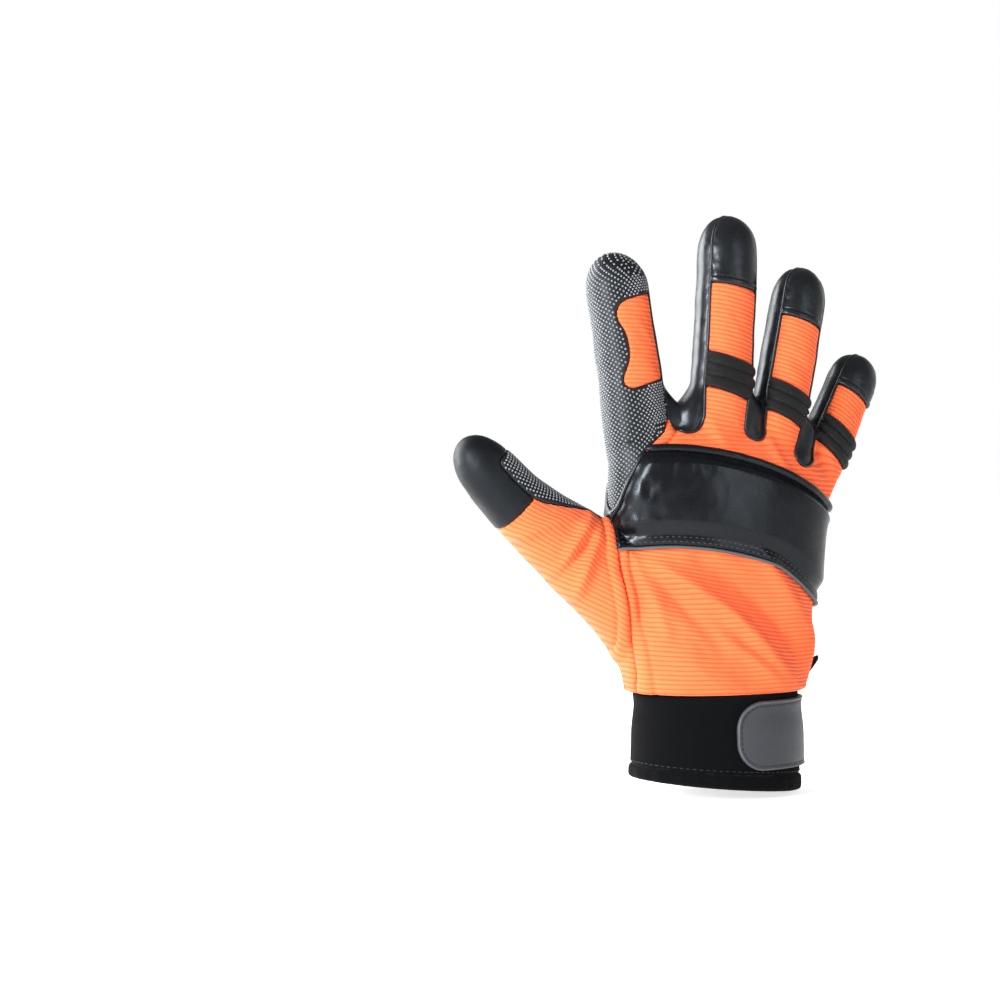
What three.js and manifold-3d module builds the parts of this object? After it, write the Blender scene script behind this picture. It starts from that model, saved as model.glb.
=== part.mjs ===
// A right-hand work glove with a padded knuckle guard, sewn from knit, leather and elastic panels.
// It keeps the shape of the hand inside it: every panel is a thin wall and the glove is hollow.
// Millimetres. +Z runs from the hem to the fingertips, -Y is the back of the hand, +X the little finger.
// The origin is the middle of the wrist opening.
import * as THREE from 'three';
import { mergeVertices } from 'three/addons/utils/BufferGeometryUtils.js';
import Module from 'manifold-3d';

const wasm = await Module();
wasm.setup();

// Sewn panels
const gap = 0.3;
const wall = 1.6;
const tolerance = 0.03;
const gripThickness = 0.8;
const sideSeamDepth = 2;
const thumbSeamDepth = 13;

// Wrist
const cuff = { height: 40, halfWidth: 37.6, halfDepth: 28.5, wall: 3, slant: 7 };
const hem = { height: 6.5, rise: 0.7 };
const tab = { start: -4, width: 29.5, above: 8, corner: 11, thickness: 1.8, endDepth: 9 };
const vent = { width: 5, height: 13, thickness: 1.8, depth: 6 };

// Hand
const hand = { length: 112, halfWidth: 52.5, halfDepth: 22, ulnarDrop: 16, squareness: 2.25 };
const fold = { rise: 2.6, spread: 5 };

// Knuckle guard
const guard = { height: 39, flange: 2, pad: 4.2, inset: 4, piping: 2.4, pipingRise: 3.2 };

// Finger trim
const band = { height: 15.5, slant: 2.7, rise: 0.5, ribs: 3, ribRise: 1.5, groove: 1.3 };
const cap = { slant: 1, gripHalfAngle: 58 };
const web = { width: 9, low: 2, high: 17 };

// Fingers stand on the palm at across, deep and up: shares of the hand's half width, half depth and length.
// Splay turns a finger towards +X, lean towards the palm. Turn and curl are added on the way to the tip.
const fingers = [
  {
    name: 'index', length: 81, halfWidth: 13.2, halfDepth: 12.2, root: 38, dome: 15,
    across: -0.665, deep: 0.05, up: 0.95, splay: -6, turn: 0, lean: 5, curl: 8,
    panelStart: 0.28, panelLength: 36.5, panelFrom: -16, panelTo: 62,
  },
  {
    name: 'middle', length: 98.5, halfWidth: 12.6, halfDepth: 11.8, root: 38, dome: 16,
    across: -0.005, deep: -0.2, up: 0.95, splay: 6, turn: 1, lean: 5, curl: 9,
    bandStart: 0.2, capLength: 33, gripLength: 34, panelFrom: -58, panelTo: 62,
  },
  {
    name: 'ring', length: 82, halfWidth: 11.6, halfDepth: 11.3, root: 38, dome: 14,
    across: 0.5, deep: -0.1, up: 0.92, splay: 15, turn: 0, lean: 7, curl: 8,
    bandStart: 0.15, capLength: 26, gripLength: 34, panelFrom: -58, panelTo: 62,
  },
  {
    name: 'little', length: 58, halfWidth: 10.9, halfDepth: 10.2, root: 34, dome: 12,
    across: 0.94, deep: 0.14, up: 0.835, splay: 30, turn: 2, lean: 9, curl: 8,
    bandStart: 0.13, capLength: 21, gripLength: 30, panelFrom: -58, panelTo: 66,
  },
];
const thumb = {
  name: 'thumb', length: 93.5, halfWidth: 13.4, halfDepth: 12.4, root: 30, dome: 16,
  across: -0.78, deep: 0.26, up: 0.41, splay: -56, turn: 24, lean: 3, curl: 3,
  capLength: 37, capFrom: -150, capTo: 45, gripEnd: 16, seamTurn: 31, seamShift: 1,
};

// Hand sections, as shares of the half width and depth. Radial is towards the thumb, ulnar away from it.
const palmRows = [
  { up: 0.0, radial: 0.73, ulnar: 0.77, back: 1.26, volar: 1.28 },
  { up: 0.12, radial: 0.79, ulnar: 0.85, back: 1.22, volar: 1.34 },
  { up: 0.32, radial: 0.83, ulnar: 0.86, back: 1.08, volar: 1.22 },
  { up: 0.55, radial: 0.89, ulnar: 0.88, back: 1.03, volar: 1.02 },
  { up: 0.75, radial: 0.91, ulnar: 0.93, back: 1.0, volar: 0.92 },
  { up: 0.9, radial: 0.91, ulnar: 1.01, back: 0.86, volar: 0.8 },
  { up: 1.0, radial: 0.86, ulnar: 0.97, back: 0.55, volar: 0.5 },
];

// Finger and thumb sections: width and depth as shares of the digit's own, along its length.
const fingerRows = [
  { along: -0.5, wide: 0.94, deep: 0.9 },
  { along: 0.0, wide: 1.03, deep: 1.0 },
  { along: 0.3, wide: 1.0, deep: 1.0 },
  { along: 0.65, wide: 0.97, deep: 0.97 },
  { along: 0.85, wide: 0.97, deep: 0.95 },
  { along: 1.0, wide: 0.93, deep: 0.92 },
];
const thumbRows = [
  { along: -0.32, wide: 2.3, deep: 1.1 },
  { along: -0.12, wide: 1.97, deep: 1.4 },
  { along: 0.0, wide: 1.7, deep: 1.55 },
  { along: 0.35, wide: 1.25, deep: 1.32 },
  { along: 0.58, wide: 1.03, deep: 1.12 },
  { along: 0.82, wide: 0.88, deep: 1.0 },
  { along: 1.0, wide: 0.78, deep: 0.92 },
];

// Folds of slack cloth run from one place to another, as shares of the hand's half width and length.
const folds = [
  { side: 'back', across: -0.78, up: 0.52, toAcross: 0.52, toUp: -0.03, rise: 1.0, spread: 1.0 },
  { side: 'back', across: -0.1, up: 0.5, toAcross: 0.86, toUp: 0.1, rise: 0.75, spread: 0.8 },
  { side: 'back', across: -0.9, up: 0.28, toAcross: -0.2, toUp: 0.0, rise: 0.6, spread: 0.8 },
  { side: 'volar', across: 0.75, up: 0.03, toAcross: -0.6, toUp: 0.16, rise: 0.9, spread: 0.9 },
  { side: 'volar', across: 0.8, up: 0.3, toAcross: -0.3, toUp: 0.38, rise: 0.45, spread: 0.9 },
];

// The seam between thumb and hand, from the wrist to the web, and on beside the guard to the index finger.
const thumbSeam = [
  { across: -0.72, up: -0.02 },
  { across: -0.76, up: 0.12 },
  { across: -0.85, up: 0.35 },
  { across: -0.92, up: 0.52 },
  { across: -0.94, up: 0.7 },
];
const indexSeam = [
  { across: -0.86, up: 0.84 },
  { across: -0.7, up: 0.93 },
  { across: -0.44, up: 1.02 },
  { across: -0.4, up: 1.3 },
];

// The lower edge of the grip patch, from the little finger's side over the heel of the hand to the thumb.
const gripEdge = [
  { across: 1.15, up: 0.19 },
  { across: 0.6, up: 0.15 },
  { across: 0.15, up: 0.15 },
  { across: -0.28, up: 0.23 },
  { across: -0.69, up: 0.38 },
  { across: -1.1, up: 0.49 },
  { across: -1.55, up: 0.62 },
];

// The guard's middle line over the knuckles, as shares of the half width and of the length.
const guardRows = [
  { across: -1.0, up: 0.72 },
  { across: -0.5, up: 0.735 },
  { across: 0.0, up: 0.705 },
  { across: 0.5, up: 0.63 },
  { across: 1.0, up: 0.5 },
  { across: 1.3, up: 0.38 },
];

const palmBase = cuff.height + gap;
const far = 3 * hand.halfWidth;
const sides = { palm: 30, palmInside: 18, digit: 14, digitInside: 10 };
const steps = {
  palm: 11, palmInside: 6, digit: 7, digitInside: 4, dome: 4, wedge: 4, fork: 10, guard: 9, centreline: 20,
};

const { degToRad, clamp, lerp } = THREE.MathUtils;

// Value of a table's column at a place between its rows, on one smooth curve.
function readTable(rows, by, at, column) {
  let i = 0;
  while (i < rows.length - 2 && at > rows[i + 1][by]) i++;
  const [a, b] = [rows[i], rows[i + 1]];
  const span = b[by] - a[by];
  const t = clamp((at - a[by]) / span, 0, 1);
  const slope = (j) => {
    const before = rows[Math.max(j - 1, 0)];
    const after = rows[Math.min(j + 1, rows.length - 1)];
    return (after[column] - before[column]) / (after[by] - before[by]);
  };
  const rest = 1 - t;
  return (
    rest * rest * (1 + 2 * t) * a[column] +
    t * rest * rest * span * slope(i) +
    t * t * (3 - 2 * t) * b[column] -
    t * t * rest * span * slope(i + 1)
  );
}

// A closed mesh as a solid that can be joined and cut.
function toSolid(geometry, tolerance = 1e-4) {
  const bare = new THREE.BufferGeometry().setAttribute('position', geometry.getAttribute('position'));
  if (geometry.index) bare.setIndex(geometry.index);
  const merged = mergeVertices(bare, tolerance);
  return new wasm.Manifold(
    new wasm.Mesh({
      numProp: 3,
      vertProperties: merged.attributes.position.array,
      triVerts: new Uint32Array(merged.index.array),
    }),
  );
}

// A solid through rings of points, closed by a fan to one point at each end.
function loft(rings, start, end) {
  const count = rings[0].length;
  const points = [...rings.flat(), start, end];
  const startIndex = rings.length * count;
  const lastRing = startIndex - count;
  const faces = [];
  for (let i = 0; i < count; i++) {
    const j = (i + 1) % count;
    for (let r = 0; r < lastRing; r += count) {
      faces.push(r + i, r + j, r + count + j, r + i, r + count + j, r + count + i);
    }
    faces.push(startIndex, j, i, lastRing + i, lastRing + j, startIndex + 1);
  }
  return toSolid(new THREE.BufferGeometry().setFromPoints(points).setIndex(faces));
}

function centreOf(ring) {
  return ring.reduce((sum, p) => sum.add(p), new THREE.Vector3()).divideScalar(ring.length);
}

function superellipse(angle, halfWidth, halfDepth) {
  const power = 2 / hand.squareness;
  const [c, s] = [Math.cos(angle), Math.sin(angle)];
  return [halfWidth * Math.sign(c) * Math.abs(c) ** power, halfDepth * Math.sign(s) * Math.abs(s) ** power];
}

// An outline in X and Z, cut straight through the glove between two depths.
function throughCut(outline, front, back) {
  const shape = new THREE.Shape(outline.map(([x, z]) => new THREE.Vector2(x, z)));
  const geometry = new THREE.ExtrudeGeometry(shape, { depth: back - front, bevelEnabled: false });
  return toSolid(geometry.rotateX(Math.PI / 2).translate(0, back, 0));
}

// How far the folds lift the cloth at a place on one side of the hand.
function foldRise(side, x, z) {
  const place = new THREE.Vector2(x, z);
  return folds
    .filter((f) => f.side === side)
    .reduce((sum, f) => {
      const from = new THREE.Vector2(f.across * hand.halfWidth, palmBase + f.up * hand.length);
      const to = new THREE.Vector2(f.toAcross * hand.halfWidth, palmBase + f.toUp * hand.length);
      const run = to.clone().sub(from);
      const t = clamp(place.clone().sub(from).dot(run) / run.lengthSq(), 0, 1);
      const away = from.addScaledVector(run, t).distanceTo(place) / (f.spread * fold.spread);
      return sum + f.rise * fold.rise * Math.exp(-away * away) * Math.sin(Math.PI * lerp(0.12, 0.88, t));
    }, 0);
}

function palmRing(up, grow, count) {
  const size = (column, half) => readTable(palmRows, 'up', up, column) * half + grow;
  const [radial, ulnar] = [size('radial', hand.halfWidth), size('ulnar', hand.halfWidth)];
  const [back, volar] = [size('back', hand.halfDepth), size('volar', hand.halfDepth)];
  return Array.from({ length: count }, (_, i) => {
    const angle = (2 * Math.PI * i) / count;
    const [c, s] = [Math.cos(angle), Math.sin(angle)];
    const [x, y] = superellipse(angle, c < 0 ? radial : ulnar, s < 0 ? back : volar);
    const drop = hand.ulnarDrop * Math.max(0, x / hand.halfWidth) ** 2 * up ** 2;
    const z = palmBase + up * hand.length + grow * up ** 4 - drop;
    const lift = s < 0 ? -foldRise('back', x, z) : foldRise('volar', x, z);
    return new THREE.Vector3(x, y + lift * Math.abs(s), z);
  });
}

// The hand without its fingers, all of it larger by grow; its first ring can start lower, to open a hollow.
function palmSolid(grow, count, stations, below = 0) {
  const rings = Array.from({ length: stations + 1 }, (_, k) => palmRing(k / stations, grow, count));
  if (below > 0) rings.unshift(rings[0].map((p) => new THREE.Vector3(p.x, p.y, p.z - below)));
  return loft(rings, centreOf(rings[0]), centreOf(rings.at(-1)));
}

function directionsAt(digit, s) {
  const bend = Math.max(0, s / digit.length) ** 2;
  const splay = degToRad(digit.splay + digit.turn * bend);
  const lean = degToRad(digit.lean + digit.curl * bend);
  const [ss, cs, sl, cl] = [Math.sin(splay), Math.cos(splay), Math.sin(lean), Math.cos(lean)];
  return {
    along: new THREE.Vector3(ss * cl, sl, cs * cl),
    outward: new THREE.Vector3(ss * sl, -cl, cs * sl),
    sideways: new THREE.Vector3(cs, 0, -ss),
  };
}

// The place on a digit's middle line at s from its base, and its directions there.
function frameAt(digit, s) {
  const place = new THREE.Vector3(
    digit.across * hand.halfWidth,
    digit.deep * hand.halfDepth,
    palmBase + digit.up * hand.length,
  );
  for (let k = 0; k < steps.centreline; k++) {
    const middle = (s * (k + 0.5)) / steps.centreline;
    place.addScaledVector(directionsAt(digit, middle).along, s / steps.centreline);
  }
  return { place, ...directionsAt(digit, s) };
}

function digitRing(digit, s, grow, count, share = 1) {
  const rows = digit === thumb ? thumbRows : fingerRows;
  const halfWidth = (readTable(rows, 'along', s / digit.length, 'wide') * digit.halfWidth + grow) * share;
  const halfDepth = (readTable(rows, 'along', s / digit.length, 'deep') * digit.halfDepth + grow) * share;
  const { place, outward, sideways } = frameAt(digit, s);
  return Array.from({ length: count }, (_, i) => {
    const [w, d] = superellipse((2 * Math.PI * i) / count, halfWidth, halfDepth);
    return place.clone().addScaledVector(sideways, w).addScaledVector(outward, -d);
  });
}

// One finger or the thumb with its round tip, all of it larger by grow, from a place on its length.
function digitSolid(digit, grow, count, stations, from = -digit.root) {
  const domeStart = digit.length - digit.dome;
  const rings = Array.from({ length: stations + 1 }, (_, k) =>
    digitRing(digit, lerp(from, domeStart, k / stations), grow, count),
  );
  for (let k = 1; k < steps.dome; k++) {
    const angle = (k / steps.dome) * (Math.PI / 2);
    const s = domeStart + (digit.dome + grow) * Math.sin(angle);
    rings.push(digitRing(digit, s, grow, count, Math.cos(angle)));
  }
  return loft(rings, centreOf(rings[0]), frameAt(digit, digit.length + grow).place);
}

// A wedge along a digit between two angles. 0 is the back of the finger and 90 the little finger's side.
function wedge(digit, start, end, from, to, slant = 0) {
  const reach = 2.2 * digit.halfWidth;
  const rings = Array.from({ length: steps.wedge + 1 }, (_, k) => {
    const s = lerp(start, end, k / steps.wedge);
    const { place, along, outward, sideways } = frameAt(digit, s);
    const rim = Array.from({ length: steps.wedge + 1 }, (_, i) => {
      const angle = degToRad(lerp(from, to, i / steps.wedge));
      return place
        .clone()
        .addScaledVector(outward, reach * Math.cos(angle))
        .addScaledVector(sideways, reach * Math.sin(angle))
        .addScaledVector(along, -slant * Math.sin(angle));
    });
    return [place, ...rim];
  });
  return loft(rings, centreOf(rings[0]), centreOf(rings.at(-1)));
}

function formSolid(grow) {
  const inside = grow < 0;
  const below = inside ? cuff.height / 4 : 0;
  const palm = inside
    ? palmSolid(grow, sides.palmInside, steps.palmInside, below)
    : palmSolid(grow, sides.palm, steps.palm);
  const count = inside ? sides.digitInside : sides.digit;
  const stations = inside ? steps.digitInside : steps.digit;
  const digits = [...fingers, thumb].map((digit) => digitSolid(digit, grow, count, stations));
  return wasm.Manifold.union([palm, ...digits]);
}

// A thin layer that lies on the glove, between two heights above it.
function layer(low, high) {
  return formSolid(high).subtract(formSolid(low));
}

// Points of a curve in X and Z that follows the guard's middle line, offset up or down.
function guardLine(offset, from, to) {
  return Array.from({ length: steps.guard + 1 }, (_, k) => {
    const across = lerp(from, to, k / steps.guard);
    const up = readTable(guardRows, 'across', across, 'up');
    return [across * hand.halfWidth, palmBase + up * hand.length + offset];
  });
}

const guardTop = guard.height / 2;

// Everything on the back of the hand lies in front of this cut, which follows the side seams.
function backCut(shift) {
  const corners = [
    [-far, -far],
    [far, -far],
    [far, sideSeamDepth + shift],
    [0, sideSeamDepth + shift],
    [-far / 2, thumbSeamDepth + shift],
    [-far, thumbSeamDepth + shift],
  ];
  const shape = new THREE.Shape(corners.map(([x, y]) => new THREE.Vector2(x, y)));
  return toSolid(new THREE.ExtrudeGeometry(shape, { depth: 2 * far, bevelEnabled: false }));
}

// The side of the hand where its back cloth ends, from the wrist past the web to the index finger.
function handSide(shift) {
  const seam = [...thumbSeam, ...indexSeam].map((row) => [
    row.across * hand.halfWidth - shift,
    palmBase + row.up * hand.length,
  ]);
  const low = palmBase - cuff.height;
  return throughCut([...seam, [far, 2 * hand.length], [far, low], [seam[0][0], low]], -far, far);
}

// Everything on the back of the thumb lies in front of this plane, turned about the thumb's middle line.
function thumbBackCut(shift) {
  const { place, along } = frameAt(thumb, 0);
  const geometry = new THREE.BoxGeometry(4 * far, 2 * far, 4 * far);
  geometry.translate(0, -far + thumb.seamShift + shift, 0);
  geometry.applyMatrix4(new THREE.Matrix4().makeRotationAxis(along, degToRad(-thumb.seamTurn)));
  return toSolid(geometry.translate(...place.toArray()));
}

const material = {
  knit: new THREE.MeshStandardMaterial({ color: 0xf26a21, roughness: 0.85, metalness: 0 }),
  leather: new THREE.MeshStandardMaterial({ color: 0x1c1e22, roughness: 0.45, metalness: 0 }),
  grip: new THREE.MeshStandardMaterial({ color: 0x2a2d31, roughness: 0.55, metalness: 0 }),
  elastic: new THREE.MeshStandardMaterial({ color: 0x101113, roughness: 0.8, metalness: 0 }),
  guard: new THREE.MeshStandardMaterial({ color: 0x26282c, roughness: 0.4, metalness: 0 }),
};

const glove = new THREE.Group();

function toGeometry(solid) {
  const data = solid.getMesh();
  return new THREE.BufferGeometry()
    .setAttribute('position', new THREE.BufferAttribute(data.vertProperties, 3))
    .setIndex(new THREE.BufferAttribute(data.triVerts, 1));
}

// Adds a piece without the slivers and needless corners that its cuts leave.
function addPiece(name, solid, look) {
  const largest = (bodies) => bodies.sort((a, b) => b.volume() - a.volume())[0];
  const cleaned = toSolid(toGeometry(largest(solid.decompose())), 2e-3);
  const geometry = toGeometry(largest(cleaned.decompose()).simplify(tolerance));
  geometry.computeVertexNormals();
  const mesh = new THREE.Mesh(geometry, look);
  mesh.name = name;
  glove.add(mesh);
}

const shell = formSolid(0).subtract(formSolid(-wall));

// The whole of a finger above its base, wider than its wall, for cutting it from the hand.
function fingerZone(finger, start, grow) {
  return digitSolid(finger, wall + grow, sides.digitInside, steps.digitInside, start);
}

function bandRange(finger) {
  const start = finger.bandStart * finger.length;
  const height = band.height * (finger.halfWidth / fingers[1].halfWidth);
  return { start, end: start + height, height };
}

// The index finger is grip leather all round, with one small knit panel on its back.
function addIndex(finger, cloth) {
  const own = cloth.intersect(fingerZone(finger, gap, 0));
  const { name, length, panelFrom: from, panelTo: to } = finger;
  const slit = degreesOf(gap, finger.halfWidth);
  const start = finger.panelStart * length;
  const end = start + finger.panelLength;
  const window = wedge(finger, start - gap, end + gap, from - slit, to + slit, band.slant);
  addPiece(`${name}_sleeve`, own.subtract(window), material.grip);
  addPiece(`${name}_panel`, own.intersect(wedge(finger, start, end, from, to, band.slant)), material.knit);
}

// An elastic band with padded ribs across the back of a finger.
function flexBand(finger) {
  const { panelFrom: from, panelTo: to } = finger;
  const { start, end, height } = bandRange(finger);
  const grown = (grow) => digitSolid(finger, grow, sides.digit, steps.digit);
  const pitch = height / band.ribs;
  const ribs = Array.from({ length: band.ribs }, (_, k) => {
    const low = start + k * pitch + band.groove / 2;
    const high = low + pitch - band.groove;
    return grown(band.ribRise).intersect(wedge(finger, low, high, from, to, band.slant));
  });
  const base = grown(band.rise).intersect(wedge(finger, start, end, from, to, band.slant));
  const inside = digitSolid(finger, -wall, sides.digitInside, steps.digitInside);
  return wasm.Manifold.union([base, ...ribs]).subtract(inside);
}

// The other fingers: a leather sleeve round the palm side and flanks, and panels on the back.
function addFinger(finger, cloth) {
  const own = cloth.intersect(fingerZone(finger, gap, 0));
  const { name, length, root, panelFrom: from, panelTo: to } = finger;
  const slit = degreesOf(gap, finger.halfWidth);
  const over = length + finger.dome;
  const [bandEnd, capStart] = [bandRange(finger).end, length - finger.capLength];
  const back = wedge(finger, -root, over, from - slit, to + slit);
  addPiece(`${name}_sleeve`, own.subtract(back), material.leather);
  addPiece(`${name}_flex_band`, flexBand(finger), material.elastic);
  const aboveBand = own.intersect(wedge(finger, bandEnd + gap, over, from, to, band.slant));
  const belowCap = wedge(finger, bandEnd, capStart, from, to, cap.slant);
  addPiece(`${name}_panel`, aboveBand.intersect(belowCap), material.knit);
  const tipCap = own.intersect(wedge(finger, capStart + gap, over, from, to, cap.slant));
  addPiece(`${name}_tip_cap`, tipCap, material.leather);
  const [left, right] = [180 - cap.gripHalfAngle, 180 + cap.gripHalfAngle];
  const patch = digitSolid(finger, gap + gripThickness, sides.digit, steps.digit)
    .subtract(digitSolid(finger, gap, sides.digit, steps.digit))
    .intersect(wedge(finger, length - finger.gripLength, over, left, right));
  addPiece(`${name}_tip_grip`, patch, material.grip);
}

// The angle that a width takes on a digit's wall.
function degreesOf(width, radius) {
  return THREE.MathUtils.radToDeg(width / radius);
}

// The soft leather fork between two fingers, a narrow strip over the web from the back to the palm.
function webCut(a, b, grow) {
  const [p, q] = [frameAt(a, 0).place, frameAt(b, 0).place];
  const edge = (a.halfWidth - b.halfWidth) / 2;
  const centre = (p.x + q.x) / 2 + edge;
  const level = Math.min(p.z, q.z) + (web.low + web.high) / 2;
  const half = (web.high - web.low) / 2;
  const tilt = degToRad((a.splay + b.splay) / 2);
  const outline = Array.from({ length: steps.fork }, (_, k) => {
    const angle = (k / steps.fork) * 2 * Math.PI;
    const x = (web.width / 2 + grow) * Math.cos(angle);
    const z = (half + grow) * Math.sign(Math.sin(angle)) * Math.abs(Math.sin(angle)) ** 0.6;
    const turned = [x * Math.cos(tilt) + z * Math.sin(tilt), z * Math.cos(tilt) - x * Math.sin(tilt)];
    return [centre + turned[0], level + turned[1]];
  });
  return throughCut(outline, -far, far);
}

function addHand() {
  let cloth = shell;
  fingers.slice(1).forEach((finger, i) => {
    const before = fingers[i];
    const fork = cloth.intersect(webCut(before, finger, 0));
    addPiece(`${before.name}_${finger.name}_fork`, fork, material.leather);
    cloth = cloth.subtract(webCut(before, finger, gap));
  });
  const [index, ...others] = fingers;
  addIndex(index, cloth);
  cloth = cloth.subtract(fingerZone(index, 0, gap));
  const strips = others.map((finger) => {
    addFinger(finger, cloth);
    const zone = fingerZone(finger, 0, gap);
    const { panelFrom, panelTo, root } = finger;
    const strip = wedge(finger, -root, bandRange(finger).start - gap, panelFrom, panelTo, band.slant);
    const onBack = cloth.intersect(zone).intersect(strip);
    cloth = cloth.subtract(zone);
    return onBack;
  });
  const capCut = (grow) => {
    const turn = degreesOf(grow, thumb.halfWidth);
    const [start, end] = [thumb.length - thumb.capLength - grow, thumb.length + thumb.dome];
    return wedge(thumb, start, end, thumb.capFrom - turn, thumb.capTo + turn);
  };
  addPiece('thumb_tip_cap', cloth.intersect(capCut(0)), material.leather);
  cloth = cloth.subtract(capCut(gap));
  const back = cloth.intersect(backCut(0)).intersect(handSide(0));
  addPiece('back_panel', wasm.Manifold.union([back, ...strips]), material.knit);
  cloth = cloth.subtract(backCut(gap).intersect(handSide(gap)));
  addPiece('thumb_panel', cloth.intersect(thumbBackCut(0)), material.knit);
  addPiece('palm_panel', cloth.subtract(thumbBackCut(gap)), material.leather);
}

function addGuard() {
  const base = formSolid(gap);
  const cut = backCut(-gap).intersect(handSide(-gap));
  const strip = (low, high) => {
    const top = guardLine(high, -1.3, 1.3);
    return throughCut([...guardLine(low, -1.3, 1.3), ...top.reverse()], -far, far);
  };
  const inset = guard.inset;
  const flange = formSolid(gap + guard.flange).intersect(strip(-guardTop, guardTop));
  const padCut = strip(-guardTop + inset, guardTop - inset).intersect(handSide(-gap - inset));
  const pad = formSolid(gap + guard.pad).intersect(padCut);
  addPiece('knuckle_guard', flange.add(pad).subtract(base).intersect(cut), material.guard);
  const raised = formSolid(gap + guard.pipingRise).subtract(base).intersect(cut);
  const [inner, outer] = [guardTop + gap, guardTop + gap + guard.piping];
  addPiece('guard_piping_top', raised.intersect(strip(inner, outer)), material.leather);
  addPiece('guard_piping_bottom', raised.intersect(strip(-outer, -inner)), material.leather);
}

// The wide grip patch on the palm and the thumb, with a curved lower edge over the heel of the hand.
function addPalmGrip() {
  const bottom = gripEdge.map((row) => [row.across * hand.halfWidth, palmBase + row.up * hand.length]);
  const tip = frameAt(thumb, thumb.length - thumb.gripEnd).place;
  const overThumb = [
    [-far, tip.z - hand.halfWidth],
    [-far, palmBase + hand.length],
  ];
  const top = fingers.map((finger) => {
    const { place } = frameAt(finger, -finger.root / 8);
    return [place.x, place.z];
  });
  const outline = throughCut([...bottom, ...overThumb, ...top, [far, top.at(-1)[1]]], -far, far);
  const thumbEnd = digitSolid(thumb, 2 * wall, sides.digit, steps.dome, thumb.length - thumb.gripEnd);
  const patch = layer(gap, gap + gripThickness)
    .intersect(outline)
    .subtract(backCut(gap).intersect(handSide(gap)))
    .subtract(thumbBackCut(gap))
    .subtract(thumbEnd);
  addPiece('palm_grip', patch, material.grip);
}

// Rings of the cuff: share 0 is its slanted lower edge and share 1 its top.
function cuffRing(share, grow) {
  return Array.from({ length: sides.palm }, (_, i) => {
    const angle = (2 * Math.PI * i) / sides.palm;
    const x = (cuff.halfWidth + grow) * Math.cos(angle);
    const y = (cuff.halfDepth + grow) * Math.sin(angle);
    const low = (-cuff.slant / 2) * Math.cos(angle);
    return new THREE.Vector3(x, y, lerp(low, cuff.height, share));
  });
}

function cuffForm(from, to, grow) {
  const rings = [cuffRing(from, grow), cuffRing((from + to) / 2, grow), cuffRing(to, grow)];
  return loft(rings, centreOf(rings[0]), centreOf(rings.at(-1)));
}

function addCuff() {
  const hollow = cuffForm(-0.5, 1.5, -cuff.wall);
  const hemShare = hem.height / cuff.height;
  const slit = gap / cuff.height;
  addPiece('cuff', cuffForm(hemShare + slit, 1, 0).subtract(hollow), material.elastic);
  addPiece('cuff_hem', cuffForm(0, hemShare, hem.rise).subtract(hollow), material.elastic);
}

// The closing tab lies on the cuff, with a round end on the back of the wrist.
function addTab() {
  const [low, middle, high] = [tab.above, tab.above + tab.width / 2, tab.above + tab.width];
  const straight = tab.start + tab.corner;
  const shape = new THREE.Shape()
    .moveTo(far, low)
    .lineTo(far, high)
    .lineTo(straight, high)
    .quadraticCurveTo(tab.start, high, tab.start, middle)
    .quadraticCurveTo(tab.start, low, straight, low);
  const outline = shape.getPoints(8).map((p) => [p.x, p.y]);
  const skin = cuffForm(0, 1, gap + tab.thickness).subtract(cuffForm(-1, 2, gap));
  addPiece('wrist_tab', skin.intersect(throughCut(outline, -far, tab.endDepth)), material.guard);
}

// The short binding at the little finger's side, where the wrist opening ends.
function addVent() {
  const low = palmBase + gap;
  const outline = [
    [0, low],
    [far, low],
    [far, low + vent.height],
    [0, low + vent.height],
  ];
  const cut = throughCut(outline, vent.depth - vent.width / 2, vent.depth + vent.width / 2);
  addPiece('vent_binding', layer(gap, gap + vent.thickness).intersect(cut), material.elastic);
}

addHand();
addGuard();
addPalmGrip();
addCuff();
addTab();
addVent();

export default glove;
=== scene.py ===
"""A right-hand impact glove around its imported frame: the looks of each sewn panel, seam and grip dot.

The glove's soft form is worked out here in millimetres from the same tables of sections as its source.
Every panel is cut from that form along a field that is zero on its seams, then given its own thickness.
"""

import math

import bpy
import numpy as np
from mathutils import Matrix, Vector, kdtree, noise


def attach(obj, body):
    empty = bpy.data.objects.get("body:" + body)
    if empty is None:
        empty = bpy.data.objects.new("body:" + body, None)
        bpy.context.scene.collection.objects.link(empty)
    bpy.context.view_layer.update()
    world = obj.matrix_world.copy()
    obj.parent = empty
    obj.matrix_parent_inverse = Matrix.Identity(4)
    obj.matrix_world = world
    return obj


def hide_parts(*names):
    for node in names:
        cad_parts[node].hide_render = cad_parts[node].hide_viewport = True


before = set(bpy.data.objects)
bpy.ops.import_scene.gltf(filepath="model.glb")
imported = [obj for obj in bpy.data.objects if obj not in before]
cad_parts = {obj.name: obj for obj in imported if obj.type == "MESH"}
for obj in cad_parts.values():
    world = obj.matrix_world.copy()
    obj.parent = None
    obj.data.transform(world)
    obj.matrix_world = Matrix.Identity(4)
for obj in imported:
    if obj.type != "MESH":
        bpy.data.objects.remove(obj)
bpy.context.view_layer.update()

MM = 0.001

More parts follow.
